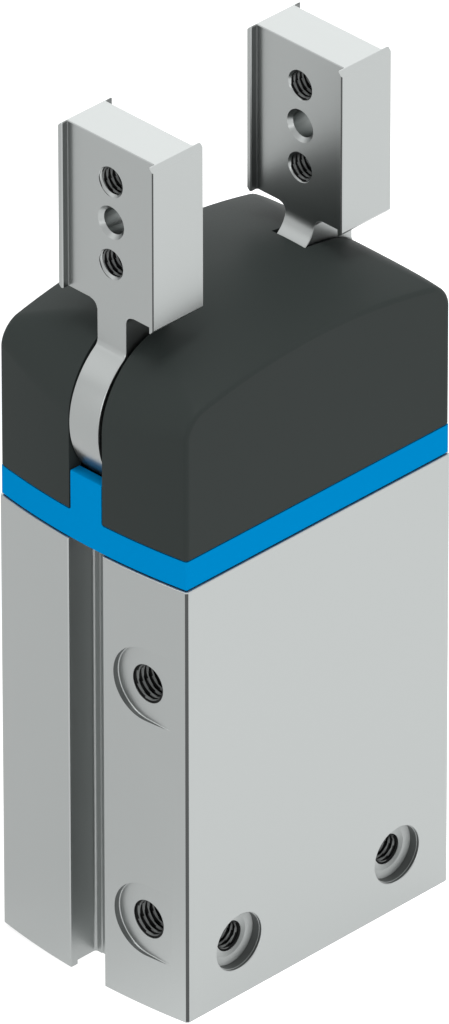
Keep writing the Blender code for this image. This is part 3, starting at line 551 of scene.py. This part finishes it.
def port_pockets():
    """Flat seats round the ports, open towards the front edge, with a fillet at the foot of the wall."""
    bm = bmesh.new()
    fillet = 0.15
    edge = -BODY_HALF_Y - 1
    for height in PORT_HEIGHTS:
        rings = []
        for turn in (0, math.pi / 8, math.pi / 4, 3 * math.pi / 8, math.pi / 2):
            radius = PORT_POCKET_RADIUS - fillet * (1 - math.sin(turn))
            along = -PORT_FACE_X - fillet * (1 - math.cos(turn))
            rings.append(pocket_ring(radius, height, edge, along))
        rings.append(pocket_ring(PORT_POCKET_RADIUS, height, edge, -BODY_CROWN_X - 1))
        loft(bm, rings)
    return bm


def pocket_ring(radius, height, edge, along):
    bend = arc((PORT_Y, height), radius, -90, 90, 32)
    outline = [(edge, height - radius), *bend, (edge, height + radius)]
    return [on_axis("X", *point, along) for point in outline]


def port_places():
    turn = Matrix.Rotation(-math.pi / 2, 4, "Y")
    return [Matrix.Translation((-PORT_FACE_X, PORT_Y, height)) @ turn for height in PORT_HEIGHTS]


def mount_places():
    places = []
    for across in (-MOUNT_X, MOUNT_X):
        for side in (-1, 1):
            seat = Matrix.Translation((across, side * (BODY_HALF_Y - MOUNT_SINK_DEPTH), MOUNT_Z))
            places.append(seat @ Matrix.Rotation(-side * math.pi / 2, 4, "X"))
    return places


def threads(thread, depth, places):
    bm = bmesh.new()
    for place in places:
        tapped_hole(thread, depth, thread[0], place, bm)
    return bm


def port_drillings():
    bm = bmesh.new()
    for height in PORT_HEIGHTS:
        low = PORT_DEPTH - PORT_FACE_X - 1
        drill(PORT_DRILL_RADIUS, low, PORT_DRILL_END, 32, "X", (0, PORT_Y, height), bm=bm)
    return bm


def mount_counterbores():
    bm = bmesh.new()
    face = BODY_HALF_Y
    floor = face - MOUNT_SINK_DEPTH
    edge = 0.08
    wall = MOUNT_SINK_RADIUS
    dish_depth = 0.3
    dish_width = 1.0
    dish = [(wall - dish_width * math.sin(turn), floor + dish_depth * (1 - math.sin(turn)))
            for turn in (math.pi / 2 * step / 6 for step in range(7))]
    steps = (
        (0, face + 1),
        (wall + edge + 1, face + 1),
        (wall + edge, face),
        (wall, face - edge),
        (wall, face - 0.4),
        (wall - 0.05, face - 0.42),
        (wall - 0.05, floor + dish_depth + 0.05),
        *dish,
        (0, floor),
    )
    for across in (-MOUNT_X, MOUNT_X):
        for side in (-1, 1):
            profile = [(radius, side * depth) for radius, depth in steps]
            turned(profile, 64, "Y", (across, 0, MOUNT_Z), bm)
    return bm


def block_screw_holes():
    bm = bmesh.new()
    for x, y in BLOCK_SCREWS:
        top = BODY_HEIGHT + 1
        drill(BLOCK_SCREW_RADIUS, BLOCK_SCREW_LOW, top, 32, "Z", (x, y, 0), mouths=(BODY_HEIGHT,), bm=bm)
    return bm


# ---------------------------------------------------------------- end cap


def make_end_cap(material):
    radius = CAP_HIGH.x
    low = CAP_LOW.z
    high = CAP_HIGH.z
    recess = 3.1
    profile = (
        (0, recess + 0.3),
        (1.2, recess),
        (5.7, recess),
        (6.0, recess - 0.3),
        (6.2, low),
        (radius - 0.4, low),
        (radius, low + 0.4),
        (radius, 4.5),
        (radius - 0.1, 4.6),
        (11.6, 4.6),
        (11.6, 6.9),
        (radius - 0.1, 6.9),
        (radius, 7.0),
        (radius, high - 0.4),
        (radius - 0.4, high),
        (0, high),
    )
    cap = new_object("end_cap_plate", turned(profile, 96))
    holes = bmesh.new()
    for _, side in SIDES:
        drill(1.0, low - 1, low + 1.8, 32, "Z", (side * 8.6, 0, 0), mouths=(low,), bm=holes)
    cut(cap, holes, "spanner_holes")
    finish_piece(cap, ["end_cap"], [material])


def make_snap_ring(material):
    """A C-shaped wire-cut ring whose ends widen inwards into lugs with a plier hole each."""
    low, high = (corner.z for corner in cad_corners("end_cap_snap_ring"))
    outer = 14.0
    inner = 12.4
    lug_inner = 11.0
    mouth = 25
    lug = 35
    outline = [
        *arc((0, 0), outer, mouth, 360 - mouth, 96),
        *arc((0, 0), lug_inner, 360 - mouth, 360 - lug + 3, 4),
        *arc((0, 0), inner, 360 - lug, lug, 80),
        *arc((0, 0), lug_inner, lug - 3, mouth, 4),
    ]
    ring = new_object("end_cap_circlip", edged_prism(outline, low, high, "Z", 0.1))
    holes = bmesh.new()
    for angle in (29, -29):
        x, y = arc((0, 0), (outer + lug_inner) / 2, angle, angle, 1)[0]
        drill(0.6, low - 1, high + 1, 24, "Z", (x, y, 0), bm=holes)
    cut(ring, holes, "plier_holes")
    finish_piece(ring, ["end_cap_snap_ring"], [material])


# ---------------------------------------------------------------- spacer ring and cover


def disc_clearance(half_width):
    """Round spaces in which the jaw discs turn."""
    bm = bmesh.new()
    for _, side in SIDES:
        centre = (side * PIVOT.x, 0, PIVOT.z)
        drill(DISC_RADIUS + DISC_RELIEF, -half_width, half_width, 180, "Y", centre, bm=bm)
    return bm


def make_spacer_ring(material):
    """A thin frame between housing and cover, with an upright tongue at the foot of each jaw slot."""
    low = BODY_HEIGHT + 0.1
    top = RING_CORNER_HIGH.z
    edge = 0.1
    levels = ((edge, low), (0, low + edge), (0, top - edge), (edge, top))
    rings = [at_level(body_outline(RING_INSET + inset), height) for inset, height in levels]
    ring = new_object("spacer_ring_band", loft(bmesh.new(), rings))
    half_x, half_y = RING_OPENING
    bend = arc((half_x - 1.5, half_y - 1.5), 1.5, 0, 90, 8)
    half = [*bend, *((-x, y) for x, y in reversed(bend))]
    cut(ring, prism(both_sides(half), low - 1, top + 1, "Z"), "opening")
    cut(ring, beside_tongues(top), "beside_tongues")
    cut(ring, disc_clearance(TONGUE_HALF + 1), "disc_clearance")
    finish_piece(ring, ["spacer_ring"], [material])


def beside_tongues(top):
    """Clears the space above the band, leaving a small fillet at the foot of each tongue."""
    bm = bmesh.new()
    far = BODY_CROWN_X + 1
    fillet = 0.35
    foot = arc((TONGUE_HALF + fillet, RING_BAND_TOP + fillet), fillet, 180, 270, 5)
    outline = [(TONGUE_HALF, top + 1), *foot, (far, RING_BAND_TOP), (far, top + 1)]
    prism(outline, -far, far, "X", bm)
    prism([(-y, z) for y, z in outline], -far, far, "X", bm)
    return bm


def cover_end_fillet(across):
    """Radius of the shoulder at the ends: large over the jaws, smaller towards the wide faces."""
    share = max(0.0, 1 - (across / BODY_HALF_Y) ** 2)
    spread = COVER_END_FILLET_MIDDLE - COVER_END_FILLET_CORNER
    return COVER_END_FILLET_CORNER + spread * share**COVER_END_FILLET_FALL


def cover_row(across, inset, drop, corner_drop, end_steps, middle_steps):
    """One row of the crowned top at a given Y, from the left end to the right end."""
    end = BODY_CROWN_X - inset - across**2 / (2 * END_ARC_RADIUS) - corner_drop
    fillet = max(1.0, cover_end_fillet(across) - max(0.0, inset - COVER_INSET))
    half = []
    for step in range(end_steps + 1):
        angle = math.pi / 2 * step / end_steps
        half.append((end - fillet * (1 - math.cos(angle)), fillet * (1 - math.sin(angle))))
    for step in range(1, middle_steps + 1):
        half.append(((end - fillet) * (1 - step / middle_steps), 0.0))
    row = [(-x, fall) for x, fall in half] + [(x, fall) for x, fall in reversed(half[:-1])]
    crown = COVER_CORNER_HIGH.z - drop - across**2 / (2 * COVER_CROWN_RADIUS_Y)
    return [(x, across, crown - x**2 / (2 * COVER_CROWN_RADIUS_X) - fall) for x, fall in row]


def crowned_block(inset, drop, bottom, rim, rows, end_steps, middle_steps):
    """A solid with the plan of the body, a crowned top, rounded shoulders and a broken lower rim."""
    half_y = BODY_HALF_Y - inset
    turns = [math.pi / 2 * step / 7 for step in range(7)]
    rim_in = [COVER_EDGE * (1 - math.cos(turn)) for turn in turns]
    rim_down = [COVER_EDGE * (1 - math.sin(turn)) for turn in turns]
    edge_rows = [(half_y - across, fall) for across, fall in zip(rim_in, rim_down)]
    flat = half_y - COVER_EDGE
    middle = [(flat * (1 - 2 * step / rows), 0.0) for step in range(rows + 1)]
    places = edge_rows + middle + [(-across, fall) for across, fall in reversed(edge_rows)]
    bm = bmesh.new()
    grid = []
    for across, fall in places:
        row = cover_row(across, inset, drop, fall, end_steps, middle_steps)
        grid.append([bm.verts.new((x, y, z - fall)) for x, y, z in row])
    for near, far in zip(grid, grid[1:]):
        for index in range(len(near) - 1):
            bm.faces.new((near[index], near[index + 1], far[index + 1], far[index]))
    right_end = [row[-1] for row in grid[1:-1]]
    left_end = [row[0] for row in grid[-2:0:-1]]
    border = grid[0] + right_end + grid[-1][::-1] + left_end
    plan = [(vert.co.x, vert.co.y) for vert in border]
    for outline, height in ((plan, bottom + rim), (inset_outline(plan, rim), bottom)):
        ring = [bm.verts.new((x, y, height)) for x, y in outline]
        for index in range(len(border)):
            bm.faces.new((border[index - 1], border[index], ring[index], ring[index - 1]))
        border = ring
    bm.faces.new(border)
    return bm


def make_cover(material):
    low = COVER_CORNER_LOW.z
    cover = new_object("cover_dome", crowned_block(COVER_INSET, 0, low, 0.12, 56, 24, 20))
    hollow = crowned_block(COVER_INSET + COVER_WALL, COVER_WALL, low - 1, 0.1, 20, 10, 8)
    cut(cover, hollow, "hollow")
    slots = bmesh.new()
    for _, side in SIDES:
        ends = sorted((side * COVER_SLOT_START, side * (BODY_CROWN_X + 1)))
        high = COVER_CORNER_HIGH.z + 1
        block((ends[0], -COVER_SLOT_HALF, low - 2), (ends[1], COVER_SLOT_HALF, high), slots)
    cut(cover, slots, "jaw_slots")
    cut(cover, disc_clearance(COVER_SLOT_HALF), "disc_clearance")
    finish_piece(cover, ["cover"], [material], sharp=40)


# ---------------------------------------------------------------- jaws


def neck_fillet_centre(across, fillet):
    """Centre of a fillet between disc and neck, and the angle at which it meets the disc."""
    rise = math.sqrt((DISC_RADIUS + fillet) ** 2 - (across - PIVOT.x) ** 2)
    return (across, PIVOT.z + rise), math.degrees(math.atan2(rise, across - PIVOT.x))


def jaw_disc_outline():
    """Disc and neck seen along Y, as (distance from the middle plane, height) points."""
    outer, outer_angle = neck_fillet_centre(NECK_OUTER + NECK_OUTER_FILLET, NECK_OUTER_FILLET)
    inner, inner_angle = neck_fillet_centre(NECK_INNER - NECK_FILLET, NECK_FILLET)
    outer_flare = arc(outer, NECK_OUTER_FILLET, 180, outer_angle + 180, 10)
    disc = arc((PIVOT.x, PIVOT.z), DISC_RADIUS, outer_angle, inner_angle - 360, 150)
    inner_flare = arc(inner, NECK_FILLET, inner_angle - 180, 0, 20)
    top = JAW_BLOCK_LOW + 1
    tuck = 0.05
    return [
        (NECK_OUTER - tuck, top),
        (NECK_OUTER, JAW_BLOCK_LOW - 0.02),
        *outer_flare,
        *disc[1:],
        *inner_flare[1:],
        (NECK_INNER, JAW_BLOCK_LOW - 0.02),
        (NECK_INNER + tuck, top),
    ]


def jaw_feet(ends):
    """Fillets between the neck's flat sides and the foot of the jaw block."""
    bm = bmesh.new()
    centre = (DISC_HALF + FOOT_FILLET, JAW_BLOCK_LOW - FOOT_FILLET)
    inside = DISC_HALF - 0.4
    fillet = arc(centre, FOOT_FILLET, 175, 90, 8)
    top = JAW_BLOCK_LOW + 0.5
    outline = [(inside, fillet[0][1]), *fillet, (centre[0], top), (inside, top)]
    for face in (-1, 1):
        prism([(face * y, z) for y, z in outline], ends[0] + 0.03, ends[1] - 0.03, "X", bm)
    return bm


def jaw_block_outline(side):
    """Plan of the H-shaped jaw block: a web between two thin plates, with filleted roots and broken edges."""
    wall = JAW_HALF_Y - JAW_PLATE
    root = JAW_WEB_FILLET
    outer_root = arc((NECK_OUTER + root, wall - root), root, 180, 90, 5)
    inner_root = arc((NECK_INNER - root, wall - root), root, 90, 0, 5)
    half = (
        *outer_root,
        (JAW_PLATE_OUTER - JAW_EDGE, wall),
        (JAW_PLATE_OUTER, wall + JAW_EDGE),
        (JAW_PLATE_OUTER, JAW_HALF_Y - JAW_EDGE),
        (JAW_PLATE_OUTER - JAW_EDGE, JAW_HALF_Y),
        (JAW_PLATE_INNER + JAW_EDGE, JAW_HALF_Y),
        (JAW_PLATE_INNER, JAW_HALF_Y - JAW_EDGE),
        (JAW_PLATE_INNER, wall + JAW_EDGE),
        (JAW_PLATE_INNER + JAW_EDGE, wall),
        *inner_root,
    )
    return [(side * x, y) for x, y in both_sides(half)]


def jaw_shoulders():
    """Wedges that chamfer the outer top and bottom edges of both plates."""
    bm = bmesh.new()
    across, down = JAW_SHOULDER
    far = JAW_PLATE_OUTER + 1
    for height, direction in ((JAW_TOP, 1), (JAW_BLOCK_LOW, -1)):
        for face in (-1, 1):
            slope = (
                (face * (JAW_HALF_Y - 2 * across), height + direction * down),
                (face * (JAW_HALF_Y + across), height - 2 * direction * down),
                (face * (JAW_HALF_Y + across), height + direction * down),
            )
            prism(slope, -far, far, "X", bm)
    return bm


def jaw_thread_places(side):
    turn = Matrix.Rotation(side * math.pi / 2, 4, "Y")
    return [Matrix.Translation((side * NECK_OUTER, 0, height)) @ turn for height in JAW_THREAD_HEIGHTS]


def jaw_threads(side):
    bm = bmesh.new()
    for place in jaw_thread_places(side):
        tapped_hole(M4, NECK_OUTER - NECK_INNER, JAW_THREAD_MOUTH, place, bm, through=True)
    return bm


def make_jaw(label, side, materials):
    """Pivot disc, neck and jaw block in one piece."""
    outline = jaw_block_outline(side)
    jaw = new_object(f"{label}_jaw_body", edged_prism(outline, JAW_BLOCK_LOW, JAW_TOP, "Z", JAW_RIM))
    ends = sorted((side * NECK_INNER, side * NECK_OUTER))
    cut(jaw, jaw_shoulders(), "shoulders")
    disc = [(side * x, z) for x, z in jaw_disc_outline()]
    fuse(jaw, edged_prism(disc, -DISC_HALF, DISC_HALF, "Y", JAW_EDGE, steps=2), "disc")
    fuse(jaw, jaw_feet(ends), "feet")
    cut(jaw, jaw_threads(side), "threads")
    dowel = drill(
        JAW_DOWEL_RADIUS, ends[0] - 1, ends[1] + 1, 64, "X", (0, 0, JAW_DOWEL_HEIGHT), mouths=ends,
        sink=JAW_DOWEL_SINK
    )
    cut(jaw, dowel, "dowel_hole")
    faces = (-DISC_HALF, DISC_HALF)
    bores = drill(JAW_BUSH_RADIUS, -4, 4, 64, "Y", (side * PIVOT.x, 0, PIVOT.z), mouths=faces)
    drill(DRIVE_PIN_BORE, -4, 4, 48, "Y", (side * DRIVE_PIN_X, 0, DRIVE_PIN_Z), mouths=faces, bm=bores)
    cut(jaw, bores, "pin_bores")
    finish_piece(jaw, [f"{label}_jaw"], materials)
    # Painted shade: the plate edges, the inner plate sides and the threads get darker copies of the metal.
    paint(jaw, PAINTED_SHADE_EDGE, on_painted_shade_plate_edge)
    paint(jaw, PAINTED_SHADE_RECESS, in_jaw_painted_shade_recess)
    sink = JAW_THREAD_MOUTH - M4[1]
    for place in jaw_thread_places(side):
        paint_thread(jaw, M4, NECK_OUTER - NECK_INNER, sink, place)


# Mask of the chamfered upright plate edges, which are painted dark as shade.
def on_painted_shade_plate_edge(middle, normal):
    on_corner = abs(middle.y) > JAW_HALF_Y - JAW_EDGE and abs(normal.z) < 0.1
    return on_corner and min(abs(normal.x), abs(normal.y)) > 0.5


def in_jaw_painted_shade_recess(middle, normal):
    """Inner sides of the plates where they stand proud of the web, with their roots, which get a darker copy
    of the metal as painted shade.
    """
    beyond_web = not NECK_INNER < abs(middle.x) < NECK_OUTER and middle.z > JAW_BLOCK_LOW
    return beyond_web and abs(normal.y) > 0.3 and abs(middle.y) < JAW_HALF_Y - JAW_PLATE + 0.05


# ---------------------------------------------------------------- materials


def add_node(tree, kind, **values):
    """A shader node with its settings and unlinked input values filled in by name."""
    made = tree.nodes.new(kind)
    for key, value in values.items():
        if hasattr(made, key):
            setattr(made, key, value)
        else:
            made.inputs[key.replace("_", " ").title()].default_value = value
    return made


def surface(name, tones, roughness, metallic, grain, stretch=(1, 1, 1), relief=0.1, specular=0.5, cloud=0.35):
    """A finish with fine grain and slow clouding in colour, roughness and relief.

    tones are the darker and lighter colour, roughness its range, grain the grain count per metre, stretch the
    grain's scale along each axis, and relief the strength of the bumps.
    """
    material = bpy.data.materials.new(name)
    material.use_nodes = True
    tree = material.node_tree
    shader = tree.nodes["Principled BSDF"]
    shader.inputs["Metallic"].default_value = metallic
    shader.inputs["Specular IOR Level"].default_value = specular
    place = add_node(tree, "ShaderNodeTexCoord")
    mapping = add_node(tree, "ShaderNodeMapping", scale=stretch)
    fine = add_node(tree, "ShaderNodeTexNoise", scale=grain, detail=4.0, roughness=0.6)
    slow = add_node(tree, "ShaderNodeTexNoise", scale=grain / 40, detail=2.0, roughness=0.5)
    blend = add_node(tree, "ShaderNodeMix", data_type="FLOAT")
    blend.inputs["Factor"].default_value = cloud
    colour = add_node(tree, "ShaderNodeMix", data_type="RGBA")
    colour.inputs["A"].default_value = (*tones[0], 1)
    colour.inputs["B"].default_value = (*tones[1], 1)
    gloss = add_node(tree, "ShaderNodeMapRange")
    gloss.inputs["From Min"].default_value = 0.25
    gloss.inputs["From Max"].default_value = 0.75
    gloss.inputs["To Min"].default_value = roughness[0]
    gloss.inputs["To Max"].default_value = roughness[1]
    bump = add_node(tree, "ShaderNodeBump", strength=relief, distance=0.02 * MM)
    link = tree.links.new
    link(place.outputs["Object"], mapping.inputs["Vector"])
    link(mapping.outputs["Vector"], fine.inputs["Vector"])
    link(place.outputs["Object"], slow.inputs["Vector"])
    link(fine.outputs["Fac"], blend.inputs["A"])
    link(slow.outputs["Fac"], blend.inputs["B"])
    link(blend.outputs["Result"], colour.inputs["Factor"])
    link(blend.outputs["Result"], gloss.inputs["Value"])
    link(colour.outputs["Result"], shader.inputs["Base Color"])
    link(gloss.outputs["Result"], shader.inputs["Roughness"])
    link(fine.outputs["Fac"], bump.inputs["Height"])
    link(bump.outputs["Normal"], shader.inputs["Normal"])
    return material


def grey(value, warm=0.0):
    return (value, value * (1.045 - warm), value * (1.035 - 2 * warm))


def make_finishes():
    """One finish for each material slot of the record, and those of edges, recesses and threads, which are
    painted shade: darker copies of the metal.
    """
    return {
        "housing_anodised": surface(
            "anodised_aluminium", (grey(0.345), grey(0.370)), (0.36, 0.42), 1.0, 5200, relief=0.08
        ),
        "jaw_metal": surface(
            "machined_jaw", (grey(0.338), grey(0.348)), (0.27, 0.31), 1.0, 6000, relief=0.02
        ),
        # Painted shade: a dark copy of the metal for the chamfered upright edges.
        "painted_dark_edge": surface(
            "edge_painted_shade", (grey(0.055), grey(0.07)), (0.30, 0.38), 1.0, 5200, relief=0.06
        ),
        # Painted shade: a darker copy of the metal for the pocket, counterbore and inner plate walls.
        "recess": surface(
            "recess_painted_shade", (grey(0.15), grey(0.18)), (0.36, 0.44), 1.0, 5200, relief=0.06
        ),
        "slot_wall": surface(
            "extruded_slot_wall", (grey(0.34), grey(0.38)), (0.36, 0.44), 1.0, 5200, relief=0.06
        ),
        # Painted shade on the thread crests and painted shadow, near black, in the thread roots.
        "thread_crest": surface(
            "thread_crest_painted_shade", (grey(0.10), grey(0.13)), (0.34, 0.44), 1.0, 5200, relief=0.06
        ),
        "thread_root": surface(
            "thread_root_painted_shadow", (grey(0.008), grey(0.012)), (0.40, 0.50), 1.0, 5200, relief=0.06
        ),
        "mill_aluminium": surface(
            "milled_aluminium", (grey(0.50), grey(0.58)), (0.28, 0.40), 1.0, 1500, (0.3, 3.0, 3.0),
            relief=0.12
        ),
        "cover_black": surface(
            "cover_plastic", ((0.0218, 0.0266, 0.0254), (0.0239, 0.0291, 0.0277)), (0.46, 0.56), 0.0, 3600,
            relief=0.20, specular=0.06
        ),
        "ring_blue": surface(
            "ring_plastic", ((0.0, 0.175, 0.420), (0.0, 0.185, 0.440)), (0.50, 0.60), 0.0, 3000, relief=0.08,
            specular=0.0
        ),
        "hardened_steel": surface(
            "ground_steel", (grey(0.40), grey(0.50)), (0.18, 0.30), 1.0, 1800, (3.0, 3.0, 0.2), relief=0.08
        ),
        "spring_steel": surface(
            "phosphated_steel", (grey(0.10), grey(0.16)), (0.36, 0.50), 1.0, 4000, relief=0.15
        ),
        "bronze": surface(
            "sintered_bronze", ((0.50, 0.31, 0.14), (0.66, 0.44, 0.22)), (0.30, 0.46), 1.0, 4500, relief=0.20
        ),
        "nitrile_rubber": surface(
            "seal_rubber", (grey(0.012), grey(0.022)), (0.58, 0.72), 0.0, 2500, relief=0.15, specular=0.4
        ),
        "bearing_polymer": surface(
            "filled_polymer", (grey(0.10, 0.03), grey(0.16, 0.03)), (0.42, 0.55), 0.0, 3000, relief=0.12
        ),
        "magnet": surface(
            "sintered_magnet", (grey(0.06), grey(0.10)), (0.45, 0.60), 0.35, 3500, relief=0.25
        ),
    }


def finish_carried_nodes(finishes):
    """Gives every CAD node its finish by the material slot that the record names for it."""
    for row in frame["record"]["subparts"]:
        node = frame["nodes"][row["node"]]
        node.data.materials.clear()
        node.data.materials.append(finishes[row["material_slot"]])


# ---------------------------------------------------------------- camera, floor and light


CAMERA_AZIMUTH = -44.928
CAMERA_ELEVATION = 31.977
CAMERA_DISTANCE = 2.0198
CAMERA_SHIFT_LEFT = 0.000115
CAMERA_ROLL = -0.00101
CAMERA_LENS = 602.75
TARGET_SHARE = 0.4837
FLOOR_GLOW = (0.62, 1.14)

# Lights as (name, azimuth, elevation, size, power)
SOFTBOX_DISTANCE = 1.3
SOFTBOXES = (
    ("softbox_back", 135, 32, 1.0, 3),
    ("softbox_right", 47, 33, 0.8, 1.2),
    ("softbox_left", -139, 37, 0.8, 0.8),
    ("softbox_low", -105, 12, 0.6, 2),
    ("softbox_front", -42, 12, 0.4, 1),
)


def direction(azimuth, elevation):
    """Unit vector from the object towards a viewer; azimuth 0 looks along +Y."""
    turn = math.radians(azimuth)
    rise = math.radians(elevation)
    return Vector((math.sin(turn) * math.cos(rise), -math.cos(turn) * math.cos(rise), math.sin(rise)))


def make_camera():
    data = bpy.data.cameras.new("camera")
    data.lens = CAMERA_LENS
    data.sensor_width = 36
    data.clip_start = 0.1
    data.clip_end = 20
    camera = bpy.data.objects.new("camera", data)
    bpy.context.scene.collection.objects.link(camera)
    back = direction(CAMERA_AZIMUTH, CAMERA_ELEVATION)
    middle = Vector((0, 0, TARGET_SHARE * cad_bounds[1].z))
    target = middle - direction(CAMERA_AZIMUTH + 90, 0) * CAMERA_SHIFT_LEFT
    camera.location = target + back * CAMERA_DISTANCE
    camera.rotation_mode = "QUATERNION"
    camera.rotation_quaternion = (-back).to_track_quat("-Z", "Y") @ Quaternion((0, 0, 1), CAMERA_ROLL)
    bpy.context.scene.camera = camera


def make_floor():
    """A round white floor, lit from below like a light table and brighter along -Y and +X."""
    bm = bmesh.new()
    bmesh.ops.create_circle(bm, cap_ends=True, radius=3.0, segments=96)
    bmesh.ops.translate(bm, vec=(0, 0, -0.0004), verts=bm.verts)
    mesh = bpy.data.meshes.new("floor")
    bm.to_mesh(mesh)
    bm.free()
    floor = bpy.data.objects.new("floor", mesh)
    bpy.context.scene.collection.objects.link(floor)
    material = bpy.data.materials.new("floor_paper")
    material.use_nodes = True
    tree = material.node_tree
    shader = tree.nodes["Principled BSDF"]
    shader.inputs["Base Color"].default_value = (0.3, 0.3, 0.3, 1)
    shader.inputs["Roughness"].default_value = 0.9
    shader.inputs["Specular IOR Level"].default_value = 0.0
    shader.inputs["Emission Color"].default_value = (1, 1, 1, 1)
    place = add_node(tree, "ShaderNodeTexCoord")
    across = add_node(tree, "ShaderNodeVectorMath", operation="DOT_PRODUCT")
    across.inputs[1].default_value = (0.707, -0.707, 0)
    fade = add_node(tree, "ShaderNodeMapRange", interpolation_type="SMOOTHSTEP")
    fade.inputs["From Min"].default_value = -0.04
    fade.inputs["From Max"].default_value = 0.0
    fade.inputs["To Min"].default_value = FLOOR_GLOW[0]
    fade.inputs["To Max"].default_value = FLOOR_GLOW[1]
    link = tree.links.new
    link(place.outputs["Object"], across.inputs[0])
    link(across.outputs["Value"], fade.inputs["Value"])
    link(fade.outputs["Result"], shader.inputs["Emission Strength"])
    mesh.materials.append(material)


def area_light(name, place, size, power):
    data = bpy.data.lights.new(name, "AREA")
    data.shape = "DISK"
    data.size = size
    data.energy = power
    light = bpy.data.objects.new(name, data)
    light.location = place
    aim = Vector((0, 0, 0.05)) - Vector(place)
    light.rotation_mode = "QUATERNION"
    light.rotation_quaternion = aim.to_track_quat("-Z", "Y")
    bpy.context.scene.collection.objects.link(light)


def make_light():
    world = bpy.data.worlds.new("studio")
    bpy.context.scene.world = world
    world.use_nodes = True
    background = world.node_tree.nodes["Background"]
    background.inputs["Color"].default_value = (1.0, 1.0, 1.0, 1)
    background.inputs["Strength"].default_value = 1.0
    for name, azimuth, elevation, size, power in SOFTBOXES:
        area_light(name, direction(azimuth, elevation) * SOFTBOX_DISTANCE, size, power)
    area_light("softbox_above", (-0.1, -0.1, 1.5), 0.6, 11)


def set_colours():
    view = bpy.context.scene.view_settings
    view.view_transform = "Standard"
    view.look = "None"
    view.exposure = 0
    view.gamma = 1


# ---------------------------------------------------------------- everything


make_camera()
finishes = make_finishes()
finish_carried_nodes(finishes)
# Darker copies of the metal for edges, recesses and threads, as painted shade.
painted_shade_finishes = [finishes[name] for name in ("painted_dark_edge", "recess", "thread_crest", "thread_root")]
jaw_finishes = [finishes["jaw_metal"], *painted_shade_finishes]
make_housing([finishes["housing_anodised"], *painted_shade_finishes, finishes["slot_wall"]])
make_end_cap(finishes["mill_aluminium"])
make_snap_ring(finishes["spring_steel"])
make_spacer_ring(finishes["ring_blue"])
make_cover(finishes["cover_black"])
for label, side in SIDES:
    make_jaw(label, side, jaw_finishes)
make_floor()
make_light()
set_colours()
